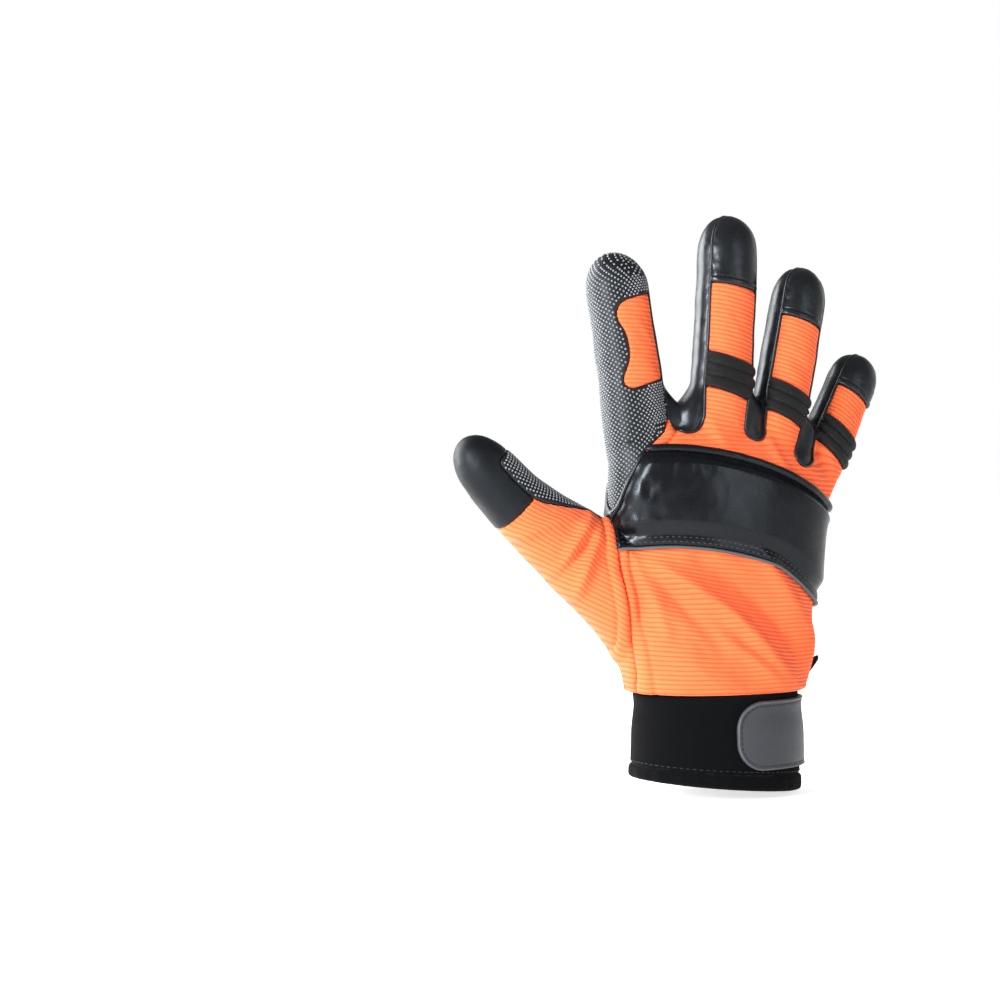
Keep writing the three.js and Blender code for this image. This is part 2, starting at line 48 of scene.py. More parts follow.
# Sizes of the glove in millimetres, the same as in its source or close to them
PALM_BASE = 40.3
HAND = dict(length=112, half_width=52.5, half_depth=22, ulnar_drop=16, squareness=2.25)
CUFF = dict(height=40, half_width=37.4, half_depth=28.3, centre=0.8, wall=2.8, slant=7, hem=6.5)
TAB = dict(start=-2.5, width=29.5, above=8, corner=12.5, rise=0.5, thickness=1.5, end_depth=9)
VENT = dict(depth=1.5, top=54, flare=4.8)
WALL = 1.3
SIDE_SEAM_DEPTH = 2
THUMB_SEAM_DEPTH = 13
BAND = dict(height=15.5, slant=2.7, ribs=3)
CAP_SLANT = 1
GUARD_HALF = 19.5
GUARD = dict(flange=1.4, pad=2.6, drop=6.0, gather=1.3, calm=0.7, groove_at=5.2, groove_width=0.9,
             groove_depth=0.25, stitch_rows=(2.1, 4.0), roll_at=-1.5, bound_at=-0.35)
GUARD_SWELL = dict(low=(5.0, 11), high=(0.4, 5), left=(-1, 6))

# Looks of the cloth
RIB_PITCH = 1.8
LOOP_PITCH = 0.85
RIB_SHIFT = 0.3
THUMB_RIB_TURN = 28
SEAM_PUFF = dict(back=(1.0, 3.8), thumb=(1.6, 4.8))
CUFF_SEAMS = [8.6, -9.5]

# The distance from an edge that cords and dots are given, so that they look less or more worn
LINE_GAP = 1.0
DOT_GAP = 9.0

# How a sewn edge turns down on each kind of panel: over which width and how deep
ROLL = dict(
    knit=(1.3, 1.0),
    finger_knit=(1.2, 0.9),
    band=(1.3, 0.9),
    cap=(1.0, 0.8),
    thumb_cap=(1.1, 0.9),
    strap=(1.2, 1.0),
    leather=(1.3, 1.0),
    index_front=(1.0, 0.5),
    grip=(1.0, 0.8),
    guard=(1.7, 1.4),
    cuff=(1.6, 1.1),
    hem=(2.0, 1.5),
    tab=(0.9, 0.8),
)

# How far each kind of panel stands above the skin
RISE = dict(band=0.2, rib=1.5, cap=0.45, thumb_cap=0.4, strap=0.15, crown=0.8, patch=0.55, grip=0.35,
            guard=0.5, hem=0.7)

# Small gathers beside seams: their height and how far they reach
PUCKER = dict(cap=(0.28, 3.0), thumb_cap=(0.2, 3.0), strap=(0.16, 2.5))
CAP_HEM = dict(height=0.35, inner=2.9, outer=2.3, groove=0.3, groove_at=2.7, groove_width=0.4)
CUFF_CURVE = dict(waist=1.0, waist_at=0.84, waist_width=0.16, spread=0.5, wave=0.35)

# Small relief of the cloth: sizes of its noise in millimetres and heights
UNEVEN = dict(broad=17, broad_height=0.38, small=6.5, small_height=0.12)
TALL_GRAIN = np.array([1, 1, 0.6])
SLACK = dict(across=26, deep=20, along=8, height=0.4)
CREASE = dict(depth=0.75, lip=0.5, lip_at=1.9, wave=1.0, stray=2.2)

# Sewn threads, and cords that lie along seams and edges
STITCHES = dict(
    guard=dict(pitch=2.5, length=1.9, radius=0.2, rise=0.08),
    cuff=dict(pitch=2.6, length=1.9, radius=0.2, rise=0.1),
    hem=dict(pitch=2.8, length=2.1, radius=0.2, rise=0.12),
    tab=dict(pitch=2.3, length=1.8, radius=0.17, rise=0.22),
)
CORDS = dict(
    strap=dict(radius=0.62, rise=0.1, sides=7),
    guard_side=dict(radius=0.6, rise=0.1),
    guard_roll=dict(radius=1.75, rise=1.7, sides=12, flat=0.95, ends=2),
    guard_bound=dict(radius=0.7, rise=1.5, sides=10, flat=1.2),
    tab_rim=dict(radius=0.42, rise=0.02),
    vent=dict(radius=1.9, sides=10, flat=0.5),
)

# Fine form of the skin
VOXEL = 0.8
SMOOTHING = 26
FLANK_ANGLE = 118

# Studio, in metres
FLOOR_HEIGHT = -4.6
WORLD = dict(front=0.56, behind=1.0, above=0.25)
FLOOR_GLOW = 0.7
LIGHT_AIM = (0, 0, 0.12)
LIGHTS = [
    ("key", (-1.2, -0.55, 0.5), (0.45, 0.45), 31),
    ("rim", (-0.74, 0.79, 0.4), (0.8, 1.1), 28),
    ("fill", (0.55, -1.15, 0.5), (0.3, 0.9), 3),
]
CAMERA = dict(angles=(-25, 2), height=0.12126, distance=1.2, aside=0.09202, lens=100.5)

PALM_ROWS = [
    dict(up=0.0, radial=0.73, ulnar=0.77, back=1.26, volar=1.28),
    dict(up=0.12, radial=0.79, ulnar=0.85, back=1.22, volar=1.34),
    dict(up=0.32, radial=0.83, ulnar=0.86, back=1.08, volar=1.22),
    dict(up=0.55, radial=0.89, ulnar=0.88, back=1.03, volar=1.02),
    dict(up=0.75, radial=0.91, ulnar=0.93, back=1.0, volar=0.92),
    dict(up=0.9, radial=0.91, ulnar=1.01, back=0.86, volar=0.8),
    dict(up=1.0, radial=0.86, ulnar=0.97, back=0.55, volar=0.5),
]
FINGER_ROWS = [
    dict(along=-0.5, wide=0.94, deep=0.9),
    dict(along=0.0, wide=1.03, deep=1.0),
    dict(along=0.3, wide=1.0, deep=1.0),
    dict(along=0.65, wide=0.97, deep=0.97),
    dict(along=0.85, wide=0.97, deep=0.95),
    dict(along=1.0, wide=0.93, deep=0.92),
]
THUMB_ROWS = [
    dict(along=-0.32, wide=2.3, deep=1.1),
    dict(along=-0.12, wide=1.97, deep=1.4),
    dict(along=0.0, wide=1.7, deep=1.55),
    dict(along=0.35, wide=1.25, deep=1.32),
    dict(along=0.58, wide=1.03, deep=1.12),
    dict(along=0.82, wide=0.88, deep=1.0),
    dict(along=1.0, wide=0.78, deep=0.92),
]
DIGITS = {
    "index": dict(length=81, half_width=13.2, half_depth=12.2, root=38, dome=15, across=-0.665, deep=0.05,
                  up=0.95, splay=-6, turn=0, lean=5, curl=8),
    "middle": dict(length=98.5, half_width=12.6, half_depth=11.8, root=38, dome=16, across=-0.005, deep=-0.2,
                   up=0.95, splay=6, turn=1, lean=5, curl=9),
    "ring": dict(length=82, half_width=11.6, half_depth=11.3, root=38, dome=14, across=0.5, deep=-0.1,
                 up=0.92, splay=15, turn=0, lean=7, curl=8),
    "little": dict(length=58, half_width=10.9, half_depth=10.2, root=34, dome=12, across=0.94, deep=0.14,
                   up=0.835, splay=30, turn=2, lean=9, curl=8),
    "thumb": dict(length=93.5, half_width=13.4, half_depth=12.4, root=30, dome=16, across=-0.78, deep=0.26,
                  up=0.41, splay=-56, turn=24, lean=3, curl=3),
}
NAMES = list(DIGITS)
FINGERS = NAMES[:4]
BANDED = NAMES[1:4]
PANELS = {
    "index": dict(start=0.28, length=36.5, low=-16, high=62),
    "middle": dict(band=0.2, cap=33, grip=34, low=-58, high=62),
    "ring": dict(band=0.15, cap=26, grip=34, low=-58, high=62),
    "little": dict(band=0.13, cap=21, grip=30, low=-58, high=66),
}
THUMB_CAP = dict(length=37, low=-150, high=14, grip_end=15, seam_turn=31, seam_shift=1)
THUMB_WEDGE = dict(root=-5.0, tip=7.5, start=18, end=62, across=(-2, 6), edge=(-44, -51))
INDEX_MIDDLE = -62
INDEX_MAP_DROP = 30
DOTS = dict(pitch=1.5, radius=0.56, height=0.42, margin=0.9, apart=0.78)
DOT_FOOT = -0.12
DOT_SHOULDER = (0.66, 0.74)
DOT_SIDES = 6

# Long folds of slack cloth, along lines given as shares of the hand's half width and length.
FOLDS = [
    dict(side="back", rise=4.0, spread=3.6,
         line=[(-0.87, 0.53), (-0.55, 0.47), (-0.24, 0.37), (0.04, 0.27), (0.23, 0.17), (0.56, 0.02)]),
    dict(side="back", line=[(0.2, 0.55), (0.48, 0.37), (0.7, 0.24), (0.83, 0.12)], rise=3.2, spread=4.0),
    dict(side="back", line=[(-0.3, 0.5), (0.2, 0.35), (0.45, 0.24), (0.66, 0.08)], rise=-3.2, spread=5.0),
    dict(side="back", line=[(-0.83, 0.53), (-0.66, 0.38), (-0.57, 0.22)], rise=2.6, spread=3.0),
    dict(side="back", line=[(-0.7, 0.46), (-0.45, 0.34), (-0.2, 0.2)], rise=-2.2, spread=3.4),
    dict(side="back", line=[(-0.15, 0.22), (0.1, 0.14), (0.44, 0.01)], rise=2.1, spread=2.8),
    dict(side="back", line=[(-0.6, 0.2), (-0.3, 0.08), (0.0, -0.01)], rise=1.0, spread=3.4),
    dict(side="back", line=[(-0.2, 1.08), (-0.12, 0.98), (0.02, 0.9)], rise=1.2, spread=2.6),
    dict(side="back", line=[(0.36, 1.0), (0.4, 0.9), (0.55, 0.8)], rise=1.1, spread=2.4),
    dict(side="back", line=[(-1.085, 0.69), (-1.31, 0.56), (-1.38, 0.46)], rise=3.0, spread=2.6),
    dict(side="back", line=[(-1.07, 0.62), (-1.21, 0.48), (-1.24, 0.34)], rise=3.0, spread=2.6),
    dict(side="back", line=[(-1.17, 0.69), (-1.56, 0.64), (-1.83, 0.56)], rise=2.0, spread=3.0),
    dict(side="back", line=[(-1.15, 0.6), (-1.33, 0.5), (-1.42, 0.4)], rise=-2.0, spread=2.4),
    dict(side="volar", line=[(0.8, 0.0), (0.3, 0.03), (-0.15, 0.12), (-0.6, 0.24)], rise=3.2, spread=2.6),
    dict(side="volar", line=[(0.78, 0.04), (0.45, 0.12), (0.2, 0.2)], rise=2.4, spread=2.4),
    dict(side="volar", line=[(0.7, 0.1), (0.1, 0.1), (-0.4, 0.22)], rise=-2.0, spread=3.2),
    dict(side="volar", line=[(0.5, -0.04), (0.0, 0.0), (-0.5, 0.1)], rise=1.4, spread=2.4),
    dict(side="volar", line=[(0.8, 0.3), (0.2, 0.36), (-0.4, 0.5)], rise=1.3, spread=6.0),
    dict(side="volar", line=[(0.7, 0.55), (0.1, 0.58), (-0.3, 0.66)], rise=1.0, spread=6.0),
]

# Creases across the palm side of the fingers: place along the digit, depth and width.
JOINT_CREASES = {
    "index": [(27, 0.7, 1.6), (59, 0.6, 1.6)],
    "middle": [(26, 0.8, 1.5), (33, 0.7, 1.3), (40, 0.8, 1.6), (47, 0.6, 1.3), (55, 0.7, 1.6)],
    "ring": [(24, 0.8, 1.5), (31, 0.7, 1.3), (37, 0.8, 1.6), (44, 0.5, 1.3)],
    "little": [(13, 0.7, 1.5), (19, 0.7, 1.3), (26, 0.6, 1.4)],
    "thumb": [(38, 0.9, 2.2), (50, 0.7, 1.8)],
}

# Trim: the straps at the forks, the wavy index panel, the dotted grip and its smooth bars.
FORKS = {
    ("index", "middle"): dict(width=14.0, low=2.0),
    ("middle", "ring"): dict(width=10.5, low=2.0),
    ("ring", "little"): dict(width=9.5, low=0.0),
}
INDEX_LOBES = [(0.12, 0.16, 4.5), (0.86, 0.17, 3.5)]
INDEX_NOTCHES = [(59.0, 3.6), (27.0, 3.6)]
GRIP_TONGUES = {"middle": 23.0, "ring": 22.0, "little": 11.0}
GRIP_MAPS = {
    "index": (-14, 4),
    "middle": (20, 30),
    "ring": (20, 30),
    "little": (10, 18),
    "thumb": (-12, 22),
}

THUMB_SEAM = [(-0.72, -0.02), (-0.76, 0.12), (-0.86, 0.35), (-0.96, 0.53), (-0.885, 0.7)]
INDEX_SEAM = [(-0.82, 0.83), (-0.7, 0.93), (-0.44, 1.02), (-0.4, 1.3)]
GRIP_EDGE = [
    (1.15, 0.19), (0.6, 0.15), (0.15, 0.15), (-0.28, 0.23), (-0.69, 0.38), (-1.1, 0.49), (-1.55, 0.62),
]
GUARD_ROWS = [
    dict(across=-1.0, up=0.72),
    dict(across=-0.5, up=0.735),
    dict(across=0.0, up=0.705),
    dict(across=0.5, up=0.63),
    dict(across=1.0, up=0.5),
    dict(across=1.3, up=0.38),
]
WEB = dict(low=2, high=17)
WEB_FORM = dict(below=8.0, narrows=8.0, reach=0.6, fall=1.6, overlap=3.5, half_depth=8.0)
WEB_TOPS = {
    ("index", "middle"): (13.0, 13.0),
    ("middle", "ring"): (18.0, 6.0),
    ("ring", "little"): (17.0, 7.0),
}
PALM_TONGUE = 5.0
NOTCH = dict(reach=4, start=-14, inner=36, above=3)
TIP_GRIP = dict(narrow=1.5, tip_narrow=5.5, narrows_from=0.45, top=0.45)


def read_table(rows, by, at, column):
    """A table's column at places between its rows, on one smooth curve."""
    keys = np.array([row[by] for row in rows], float)
    values = np.array([row[column] for row in rows], float)
    ends = (values[1] - values[0]) / (keys[1] - keys[0]), (values[-1] - values[-2]) / (keys[-1] - keys[-2])
    slopes = np.concatenate([[ends[0]], (values[2:] - values[:-2]) / (keys[2:] - keys[:-2]), [ends[1]]])
    at = np.asarray(at, float)
    i = np.clip(np.searchsorted(keys, at) - 1, 0, len(keys) - 2)
    span = keys[i + 1] - keys[i]
    t = np.clip((at - keys[i]) / span, 0, 1)
    rest = 1 - t
    return (
        rest * rest * (1 + 2 * t) * values[i]
        + t * rest * rest * span * slopes[i]
        + t * t * (3 - 2 * t) * values[i + 1]
        - t * t * rest * span * slopes[i + 1]
    )


def smooth_step(low, high, value):
    """Rises from 0 to 1 between two values, or falls where the first one is the larger."""
    t = np.clip((value - low) / (high - low), 0, 1)
    return t * t * (3 - 2 * t)


def bell(away, width):
    """A soft bump from 1 in its middle to almost 0 at twice its width."""
    return np.exp(-((away / width) ** 2))


def ring_angles(count):
    return np.arange(count) * 2 * math.pi / count


def superellipse(angle, half_width, half_depth):
    power = 2 / HAND["squareness"]
    c, s = np.cos(angle), np.sin(angle)
    return half_width * np.sign(c) * np.abs(c) ** power, half_depth * np.sign(s) * np.abs(s) ** power


class Digit:
    """A finger's or the thumb's middle line, with its directions and section sizes at each millimetre."""

    def __init__(self, name):
        for key, value in DIGITS[name].items():
            setattr(self, key, value)
        self.rows = THUMB_ROWS if name == "thumb" else FINGER_ROWS
        self.base = np.array([
            self.across * HAND["half_width"],
            self.deep * HAND["half_depth"],
            PALM_BASE + self.up * HAND["length"],
        ])
        self.stations = np.arange(-self.root, self.length + 6.0)
        along, self.outward, self.sideways = self.directions(self.stations)
        self.along = along
        steps = self.directions((self.stations[1:] + self.stations[:-1]) / 2)[0]
        line = np.vstack([np.zeros(3), np.cumsum(steps, axis=0)])
        self.places = line - line[self.root] + self.base

    def directions(self, s):
        bend = np.maximum(0, s / self.length) ** 2
        splay = np.radians(self.splay + self.turn * bend)
        lean = np.radians(self.lean + self.curl * bend)
        ss, cs, sl, cl = np.sin(splay), np.cos(splay), np.sin(lean), np.cos(lean)
        along = np.stack([ss * cl, sl, cs * cl], -1)
        outward = np.stack([ss * sl, -cl, cs * sl], -1)
        sideways = np.stack([cs, 0 * cs, -ss], -1)
        return along, outward, sideways

    def half_sizes(self, s):
        share = s / self.length
        wide = read_table(self.rows, "along", share, "wide") * self.half_width
        deep = read_table(self.rows, "along", share, "deep") * self.half_depth
        return wide, deep

    def at(self, s):
        place = np.array([np.interp(s, self.stations, self.places[:, k]) for k in range(3)])
        along, outward, sideways = self.directions(np.array(s))
        return place, along, outward, sideways

    def local(self, points):
        """Place along the digit, sideways and outward of its middle line, for many points."""
        nearest = np.zeros(len(points), int)
        size = 20000
        for start in range(0, len(points), size):
            block = points[start:start + size]
            gaps = ((block[:, None, :] - self.places[None]) ** 2).sum(-1)
            nearest[start:start + size] = gaps.argmin(1)
        away = points - self.places[nearest]
        s = self.stations[nearest] + (away * self.along[nearest]).sum(1)
        w = (away * self.sideways[nearest]).sum(1)
        d = (away * self.outward[nearest]).sum(1)
        return s, w, d

    def rings(self, count, step):
        """Rings of points from the root to the round tip."""
        dome_start = self.length - self.dome
        plain = np.arange(-self.root, dome_start, step)
        turns = np.linspace(0, 0.98, 9) * math.pi / 2
        rings = [self.ring(s, count, 1) for s in plain]
        rings += [self.ring(dome_start + self.dome * math.sin(t), count, math.cos(t)) for t in turns]
        return rings

    def ring(self, s, count, share):
        wide, deep = self.half_sizes(s)
        w, d = superellipse(ring_angles(count), wide * share, deep * share)
        place, _, outward, sideways = self.at(s)
        return place + np.outer(w, sideways) - np.outer(d, outward)


digits = {name: Digit(name) for name in NAMES}


def palm_sizes(up):
    share = {c: read_table(PALM_ROWS, "up", up, c) for c in ("radial", "ulnar", "back", "volar")}
    return (
        share["radial"] * HAND["half_width"],
        share["ulnar"] * HAND["half_width"],
        share["back"] * HAND["half_depth"],
        share["volar"] * HAND["half_depth"],
    )


def palm_rings(count, step):
    rings = []
    for height in np.arange(-14, HAND["length"] + 0.1, step):
        up = max(0, height / HAND["length"])
        radial, ulnar, back, volar = palm_sizes(up)
        x, y = superellipse(ring_angles(count), 1, 1)
        x = np.where(x < 0, x * radial, x * ulnar)
        y = np.where(y < 0, y * back, y * volar)
        drop = HAND["ulnar_drop"] * (np.maximum(0, x) / HAND["half_width"]) ** 2 * up**2
        rings.append(np.stack([x, y, PALM_BASE + height - drop], -1))
    return rings


def web_rings(a, b, side, count=24, rows=20):
    """Rings of half the web between two fingers, which rises against the flank of one of them."""
    low = min(digits[a].base[2], digits[b].base[2])
    valley, slope = WEB_TOPS[a, b]
    top = valley + slope
    overlap, narrows = WEB_FORM["overlap"], WEB_FORM["narrows"]
    rings = []
    for height in np.linspace(-WEB_FORM["below"], top, rows):
        walls = []
        for name, way in ((a, 1), (b, -1)):
            s = (low + height - digits[name].base[2]) / math.cos(math.radians(digits[name].splay))
            place, _, _, sideways = digits[name].at(s)
            walls.append(place + way * sideways * digits[name].half_sizes(s)[0])
        run = walls[1] - walls[0]
        start = walls[0] if side > 0 else walls[1]
        reach = WEB_FORM["reach"] * max(0.0, min(1.0, (top - height) / slope)) ** WEB_FORM["fall"]
        along = run / np.linalg.norm(run)
        middle = start + side * (run * reach - overlap * along) / 2
        share = math.sqrt(max(0.05, 1 - max(0, (height - valley + narrows) / (slope + narrows)) ** 2.5))
        half_width = (np.linalg.norm(run) * reach + overlap) / 2
        x, y = superellipse(ring_angles(count), half_width, WEB_FORM["half_depth"] * share)
        rings.append(np.stack([middle[0] + x, middle[1] + y, np.full(count, low + height)], -1))
    return rings


def ring_walls(count, last):
    """Triangles between each ring of points and the next, up to the ring that starts at the last number."""
    i = np.arange(count)
    j = (i + 1) % count
    tris = []
    for r in range(0, last, count):
        tris.append(np.stack([r + i, r + j, r + count + j], -1))
        tris.append(np.stack([r + i, r + count + j, r + count + i], -1))
    return tris


def closed_loft(rings):
    """Points and triangles of a solid through rings, closed by a fan at each end."""
    count = len(rings[0])
    points = np.vstack(rings + [rings[0].mean(0), rings[-1].mean(0)])
    first, last = len(rings) * count, (len(rings) - 1) * count
    i = np.arange(count)
    j = (i + 1) % count
    root_fan = np.stack([np.full(count, first), j, i], -1)
    tip_fan = np.stack([last + i, last + j, np.full(count, first + 1)], -1)
    return points, np.vstack(ring_walls(count, last) + [root_fan, tip_fan])


def join(parts):
    """Several pairs of points and faces as one."""
    shift = 0
    points, faces = [], []
    for p, f in parts:
        points.append(p)
        faces.append(f + shift)
        shift += len(p)
    return np.vstack(points), np.vstack(faces)


def make_mesh(name, points, faces, scale=MM):
    mesh = bpy.data.meshes.new(name)
    mesh.vertices.add(len(points))
    mesh.vertices.foreach_set("co", (points * scale).astype(np.float32).ravel())
    size = faces.shape[1]
    mesh.loops.add(faces.size)
    mesh.loops.foreach_set("vertex_index", faces.astype(np.int32).ravel())
    mesh.polygons.add(len(faces))
    mesh.polygons.foreach_set("loop_start", np.arange(0, faces.size, size, dtype=np.int32))
    mesh.polygons.foreach_set("loop_total", np.full(len(faces), size, np.int32))
    mesh.update(calc_edges=True)
    mesh.validate()
    return mesh


def vertex_normals(points, tris):
    a, b, c = points[tris[:, 0]], points[tris[:, 1]], points[tris[:, 2]]
    normal = np.cross(b - a, c - a)
    total = np.zeros_like(points)
    for k in range(3):
        for axis in range(3):
            total[:, axis] += np.bincount(tris[:, k], normal[:, axis], len(points))
    return total / np.maximum(np.linalg.norm(total, axis=1, keepdims=True), 1e-9)


def edges_of(tris):
    """The three edges of each triangle, as pairs of point numbers in its turning direction."""
    return np.vstack([tris[:, [0, 1]], tris[:, [1, 2]], tris[:, [2, 0]]])


def relax(points, tris, rounds):
    """Moves each point halfway to the middle of its neighbours, a number of times."""
    edges = np.unique(np.sort(edges_of(tris), axis=1), axis=0)
    a, b = np.vstack([edges, edges[:, ::-1]]).T
    count = np.bincount(a, minlength=len(points))[:, None]
    for _ in range(rounds):
        mean = np.stack([np.bincount(a, points[b, k], len(points)) for k in range(3)], -1) / count
        points = points + 0.5 * (mean - points)
    return points


def new_object(name, data):
    obj = bpy.data.objects.new(name, data)
    bpy.context.scene.collection.objects.link(obj)
    return obj


def base_form():
    """One closed skin round the palm, fingers and thumb, with soft webs between them."""
    solids = [closed_loft(palm_rings(72, 3))]
    solids += [closed_loft(digit.rings(40, 3)) for digit in digits.values()]
    solids += [closed_loft(web_rings(a, b, side)) for a, b in FORKS for side in (1, -1)]
    points, tris = join(solids)
    obj = new_object("form", make_mesh("form", points, tris, 1))
    remesh = obj.modifiers.new("remesh", "REMESH")
    remesh.mode = "VOXEL"
    remesh.voxel_size = VOXEL
    remesh.use_smooth_shade = True
    triangulate = obj.modifiers.new("triangles", "TRIANGULATE")
    triangulate.quad_method = "SHORTEST_DIAGONAL"
    evaluated = obj.evaluated_get(bpy.context.evaluated_depsgraph_get())
    mesh = evaluated.to_mesh()
    points = np.empty(len(mesh.vertices) * 3)
    mesh.vertices.foreach_get("co", points)
    tris = np.empty(len(mesh.polygons) * 3, np.int32)
    mesh.polygons.foreach_get("vertices", tris)
    evaluated.to_mesh_clear()
    bpy.data.objects.remove(obj)
    points, tris = points.reshape(-1, 3), tris.reshape(-1, 3).astype(int)
    return relax(points, tris, SMOOTHING), tris


def crossings(tris, field):
    """Where triangles are crossed by a field's zero line.

    The results are each triangle's count of corners inside, and for the crossed ones whether that count is
    one, the three corners from the odd one on, the crossed edges, the share along each edge, and the numbers
    of each triangle's two crossed edges.
    """
    state = (field > 0)[tris]
    count = state.sum(1)
    mixed = (count == 1) | (count == 2)
    single = count[mixed] == 1
    odd_one = np.where(single, state[mixed].argmax(1), (~state[mixed]).argmax(1))
    turned = (odd_one[:, None] + np.arange(3)) % 3
    p, q, r = np.take_along_axis(tris[mixed], turned, 1).T
    pairs = np.sort(np.vstack([np.stack([p, q], 1), np.stack([p, r], 1)]), axis=1)
    edges, index = np.unique(pairs, axis=0, return_inverse=True)
    a, b = edges.T
    share = field[a] / (field[a] - field[b])
    return count, single, (p, q, r), (a, b), share, index.reshape(2, -1)


class Form:
    """Triangles with a table of numbers for each point, which a cut interpolates."""

    def __init__(self, tris, table):
        self.tris = tris
        self.table = table

    def __getitem__(self, name):
        return self.table[name]

    def packed(self):
        """The same form without the points that no triangle uses."""
        used, tris = np.unique(self.tris, return_inverse=True)
        return Form(tris.reshape(-1, 3), {name: column[used] for name, column in self.table.items()})

    def cut(self, field):
        """The part where the field is positive, and the rest, with new points along the zero line."""
        count, single, (p, q, r), (a, b), t, numbers = crossings(self.tris, field)
        table = {}
        for name, column in self.table.items():
            share = t if column.ndim == 1 else t[:, None]
            table[name] = np.concatenate([column, column[a] * (1 - share) + column[b] * share])
        pq, pr = len(field) + numbers
        corner = np.stack([p, pq, pr], 1)
        rest = np.stack([np.stack([pq, q, r], 1), np.stack([pq, r, pr], 1)], 1)
        keep = np.vstack([self.tris[count == 3], corner[single], rest[~single].reshape(-1, 3)])
        drop = np.vstack([self.tris[count == 0], corner[~single], rest[single].reshape(-1, 3)])
        return Form(keep, table).packed(), Form(drop, table).packed()


def boundary_edges(tris):
    edges = edges_of(tris)
    order = np.sort(edges, axis=1)
    _, first, counts = np.unique(order, axis=0, return_index=True, return_counts=True)
    return edges[first[counts == 1]]


def tree_of(places):
    tree = kdtree.KDTree(len(places))
    for number, place in enumerate(places):
        tree.insert(place, number)
    tree.balance()
    return tree


def distance_to(points, targets):
    """How far each point is from the nearest of some others."""
    tree = tree_of(targets)
    return np.array([tree.find(p)[2] for p in points])


def with_gap(form):
    """The form with each point's distance from its edge in a column of its own."""
    rim = np.unique(boundary_edges(form.tris))
    form.table["gap"] = distance_to(form["place"], form["place"][rim])
    return form


def refine(form):
    """The form with each triangle split in four."""
    pairs, index = np.unique(np.sort(edges_of(form.tris), axis=1), axis=0, return_inverse=True)
    index = index.ravel() + len(form["place"])
    table = {
        name: np.concatenate([column, (column[pairs[:, 0]] + column[pairs[:, 1]]) / 2])
        for name, column in form.table.items()
    }
    count = len(form.tris)
    ab, bc, ca = index[:count], index[count:2 * count], index[2 * count:]
    a, b, c = form.tris.T
    tris = [np.stack(t, 1) for t in ((a, ab, ca), (ab, b, bc), (ca, bc, c), (ab, bc, ca))]
    return Form(np.vstack(tris), table)


def merged(forms):
    """Several forms as one, with the points that they share made one."""
    table = {name: np.concatenate([form[name] for form in forms]) for name in forms[0].table}
    shifts = np.cumsum([0] + [len(form["place"]) for form in forms[:-1]])
    tris = np.vstack([form.tris + shift for form, shift in zip(forms, shifts)])
    _, first, same = np.unique(np.round(table["place"], 4), axis=0, return_index=True, return_inverse=True)
    return Form(same.ravel()[tris], {name: column[first] for name, column in table.items()})


def largest(form):
    """The largest connected part of a form."""
    label = np.arange(len(form["place"]))
    edges = np.vstack([form.tris[:, [0, 1]], form.tris[:, [1, 2]]])
    while True:
        before = label.copy()
        np.minimum.at(label, edges[:, 0], label[edges[:, 1]])
        np.minimum.at(label, edges[:, 1], label[edges[:, 0]])
        label = label[label]
        if (label == before).all():
            break
    parts, counts = np.unique(label[form.tris[:, 0]], return_counts=True)
    return Form(form.tris[label[form.tris[:, 0]] == parts[counts.argmax()]], form.table).packed()


def contour(form, field, level=0.0):
    """Lines on a form where a field has a value: lists of (places, normals, closed)."""
    _, _, _, (a, b), share, numbers = crossings(form.tris, field - level)
    t = share[:, None]
    places = form["place"][a] * (1 - t) + form["place"][b] * t
    normals = form["normal"][a] * (1 - t) + form["normal"][b] * t
    return [(places[line], normals[line], closed) for line, closed in chains(*numbers)]


def edge_lines(form):
    """A form's edges as lists of (places, normals, closed)."""
    rim = boundary_edges(form.tris)
    return [(form["place"][line], form["normal"][line], closed) for line, closed in chains(*rim.T)]


def chains(starts, ends):
    """Segments joined end to end: lists of (point numbers, closed), the longest first."""
    near = {}
    for a, b in zip(starts.tolist(), ends.tolist()):
        near.setdefault(a, []).append(b)
        near.setdefault(b, []).append(a)
    lines = []
    seen = set()
    ends_first = sorted(near, key=lambda point: (len(near[point]) != 1, point))
    for start in ends_first:
        if start in seen:
            continue
        line = [start]
        seen.add(start)
        while True:
            ahead = [n for n in near[line[-1]] if n not in seen]
            if not ahead:
                break
            line.append(ahead[0])
            seen.add(ahead[0])
        closed = len(line) > 3 and line[0] in near[line[-1]]
        lines.append((np.array(line), closed))
    return sorted(lines, key=lambda line: -len(line[0]))


def spaced(line, step, rounds=4):
    """The same line with even steps, after its small jags are smoothed away."""
    places, normals, closed = line
    places, normals = places.copy(), normals.copy()
    for _ in range(rounds):
        for values in (places, normals):
            if closed:
                values[:] = (np.roll(values, 1, 0) + 2 * values + np.roll(values, -1, 0)) / 4
            else:
                values[1:-1] = (values[:-2] + 2 * values[1:-1] + values[2:]) / 4
    if closed:
        places, normals = np.vstack([places, places[:1]]), np.vstack([normals, normals[:1]])
    run = np.concatenate([[0], np.cumsum(np.linalg.norm(np.diff(places, axis=0), axis=1))])
    count = max(3, int(round(run[-1] / step)))
    at = np.linspace(0, run[-1], count + 1)
    if closed:
        at = at[:-1]
    places = np.stack([np.interp(at, run, places[:, k]) for k in range(3)], 1)
    normals = np.stack([np.interp(at, run, normals[:, k]) for k in range(3)], 1)
    return places, normals / np.linalg.norm(normals, axis=1, keepdims=True), closed


def tangents(places, closed):
    if closed:
        run = np.roll(places, -1, 0) - np.roll(places, 1, 0)
    else:
        run = np.gradient(places, axis=0)
    return run / np.maximum(np.linalg.norm(run, axis=1, keepdims=True), 1e-9)


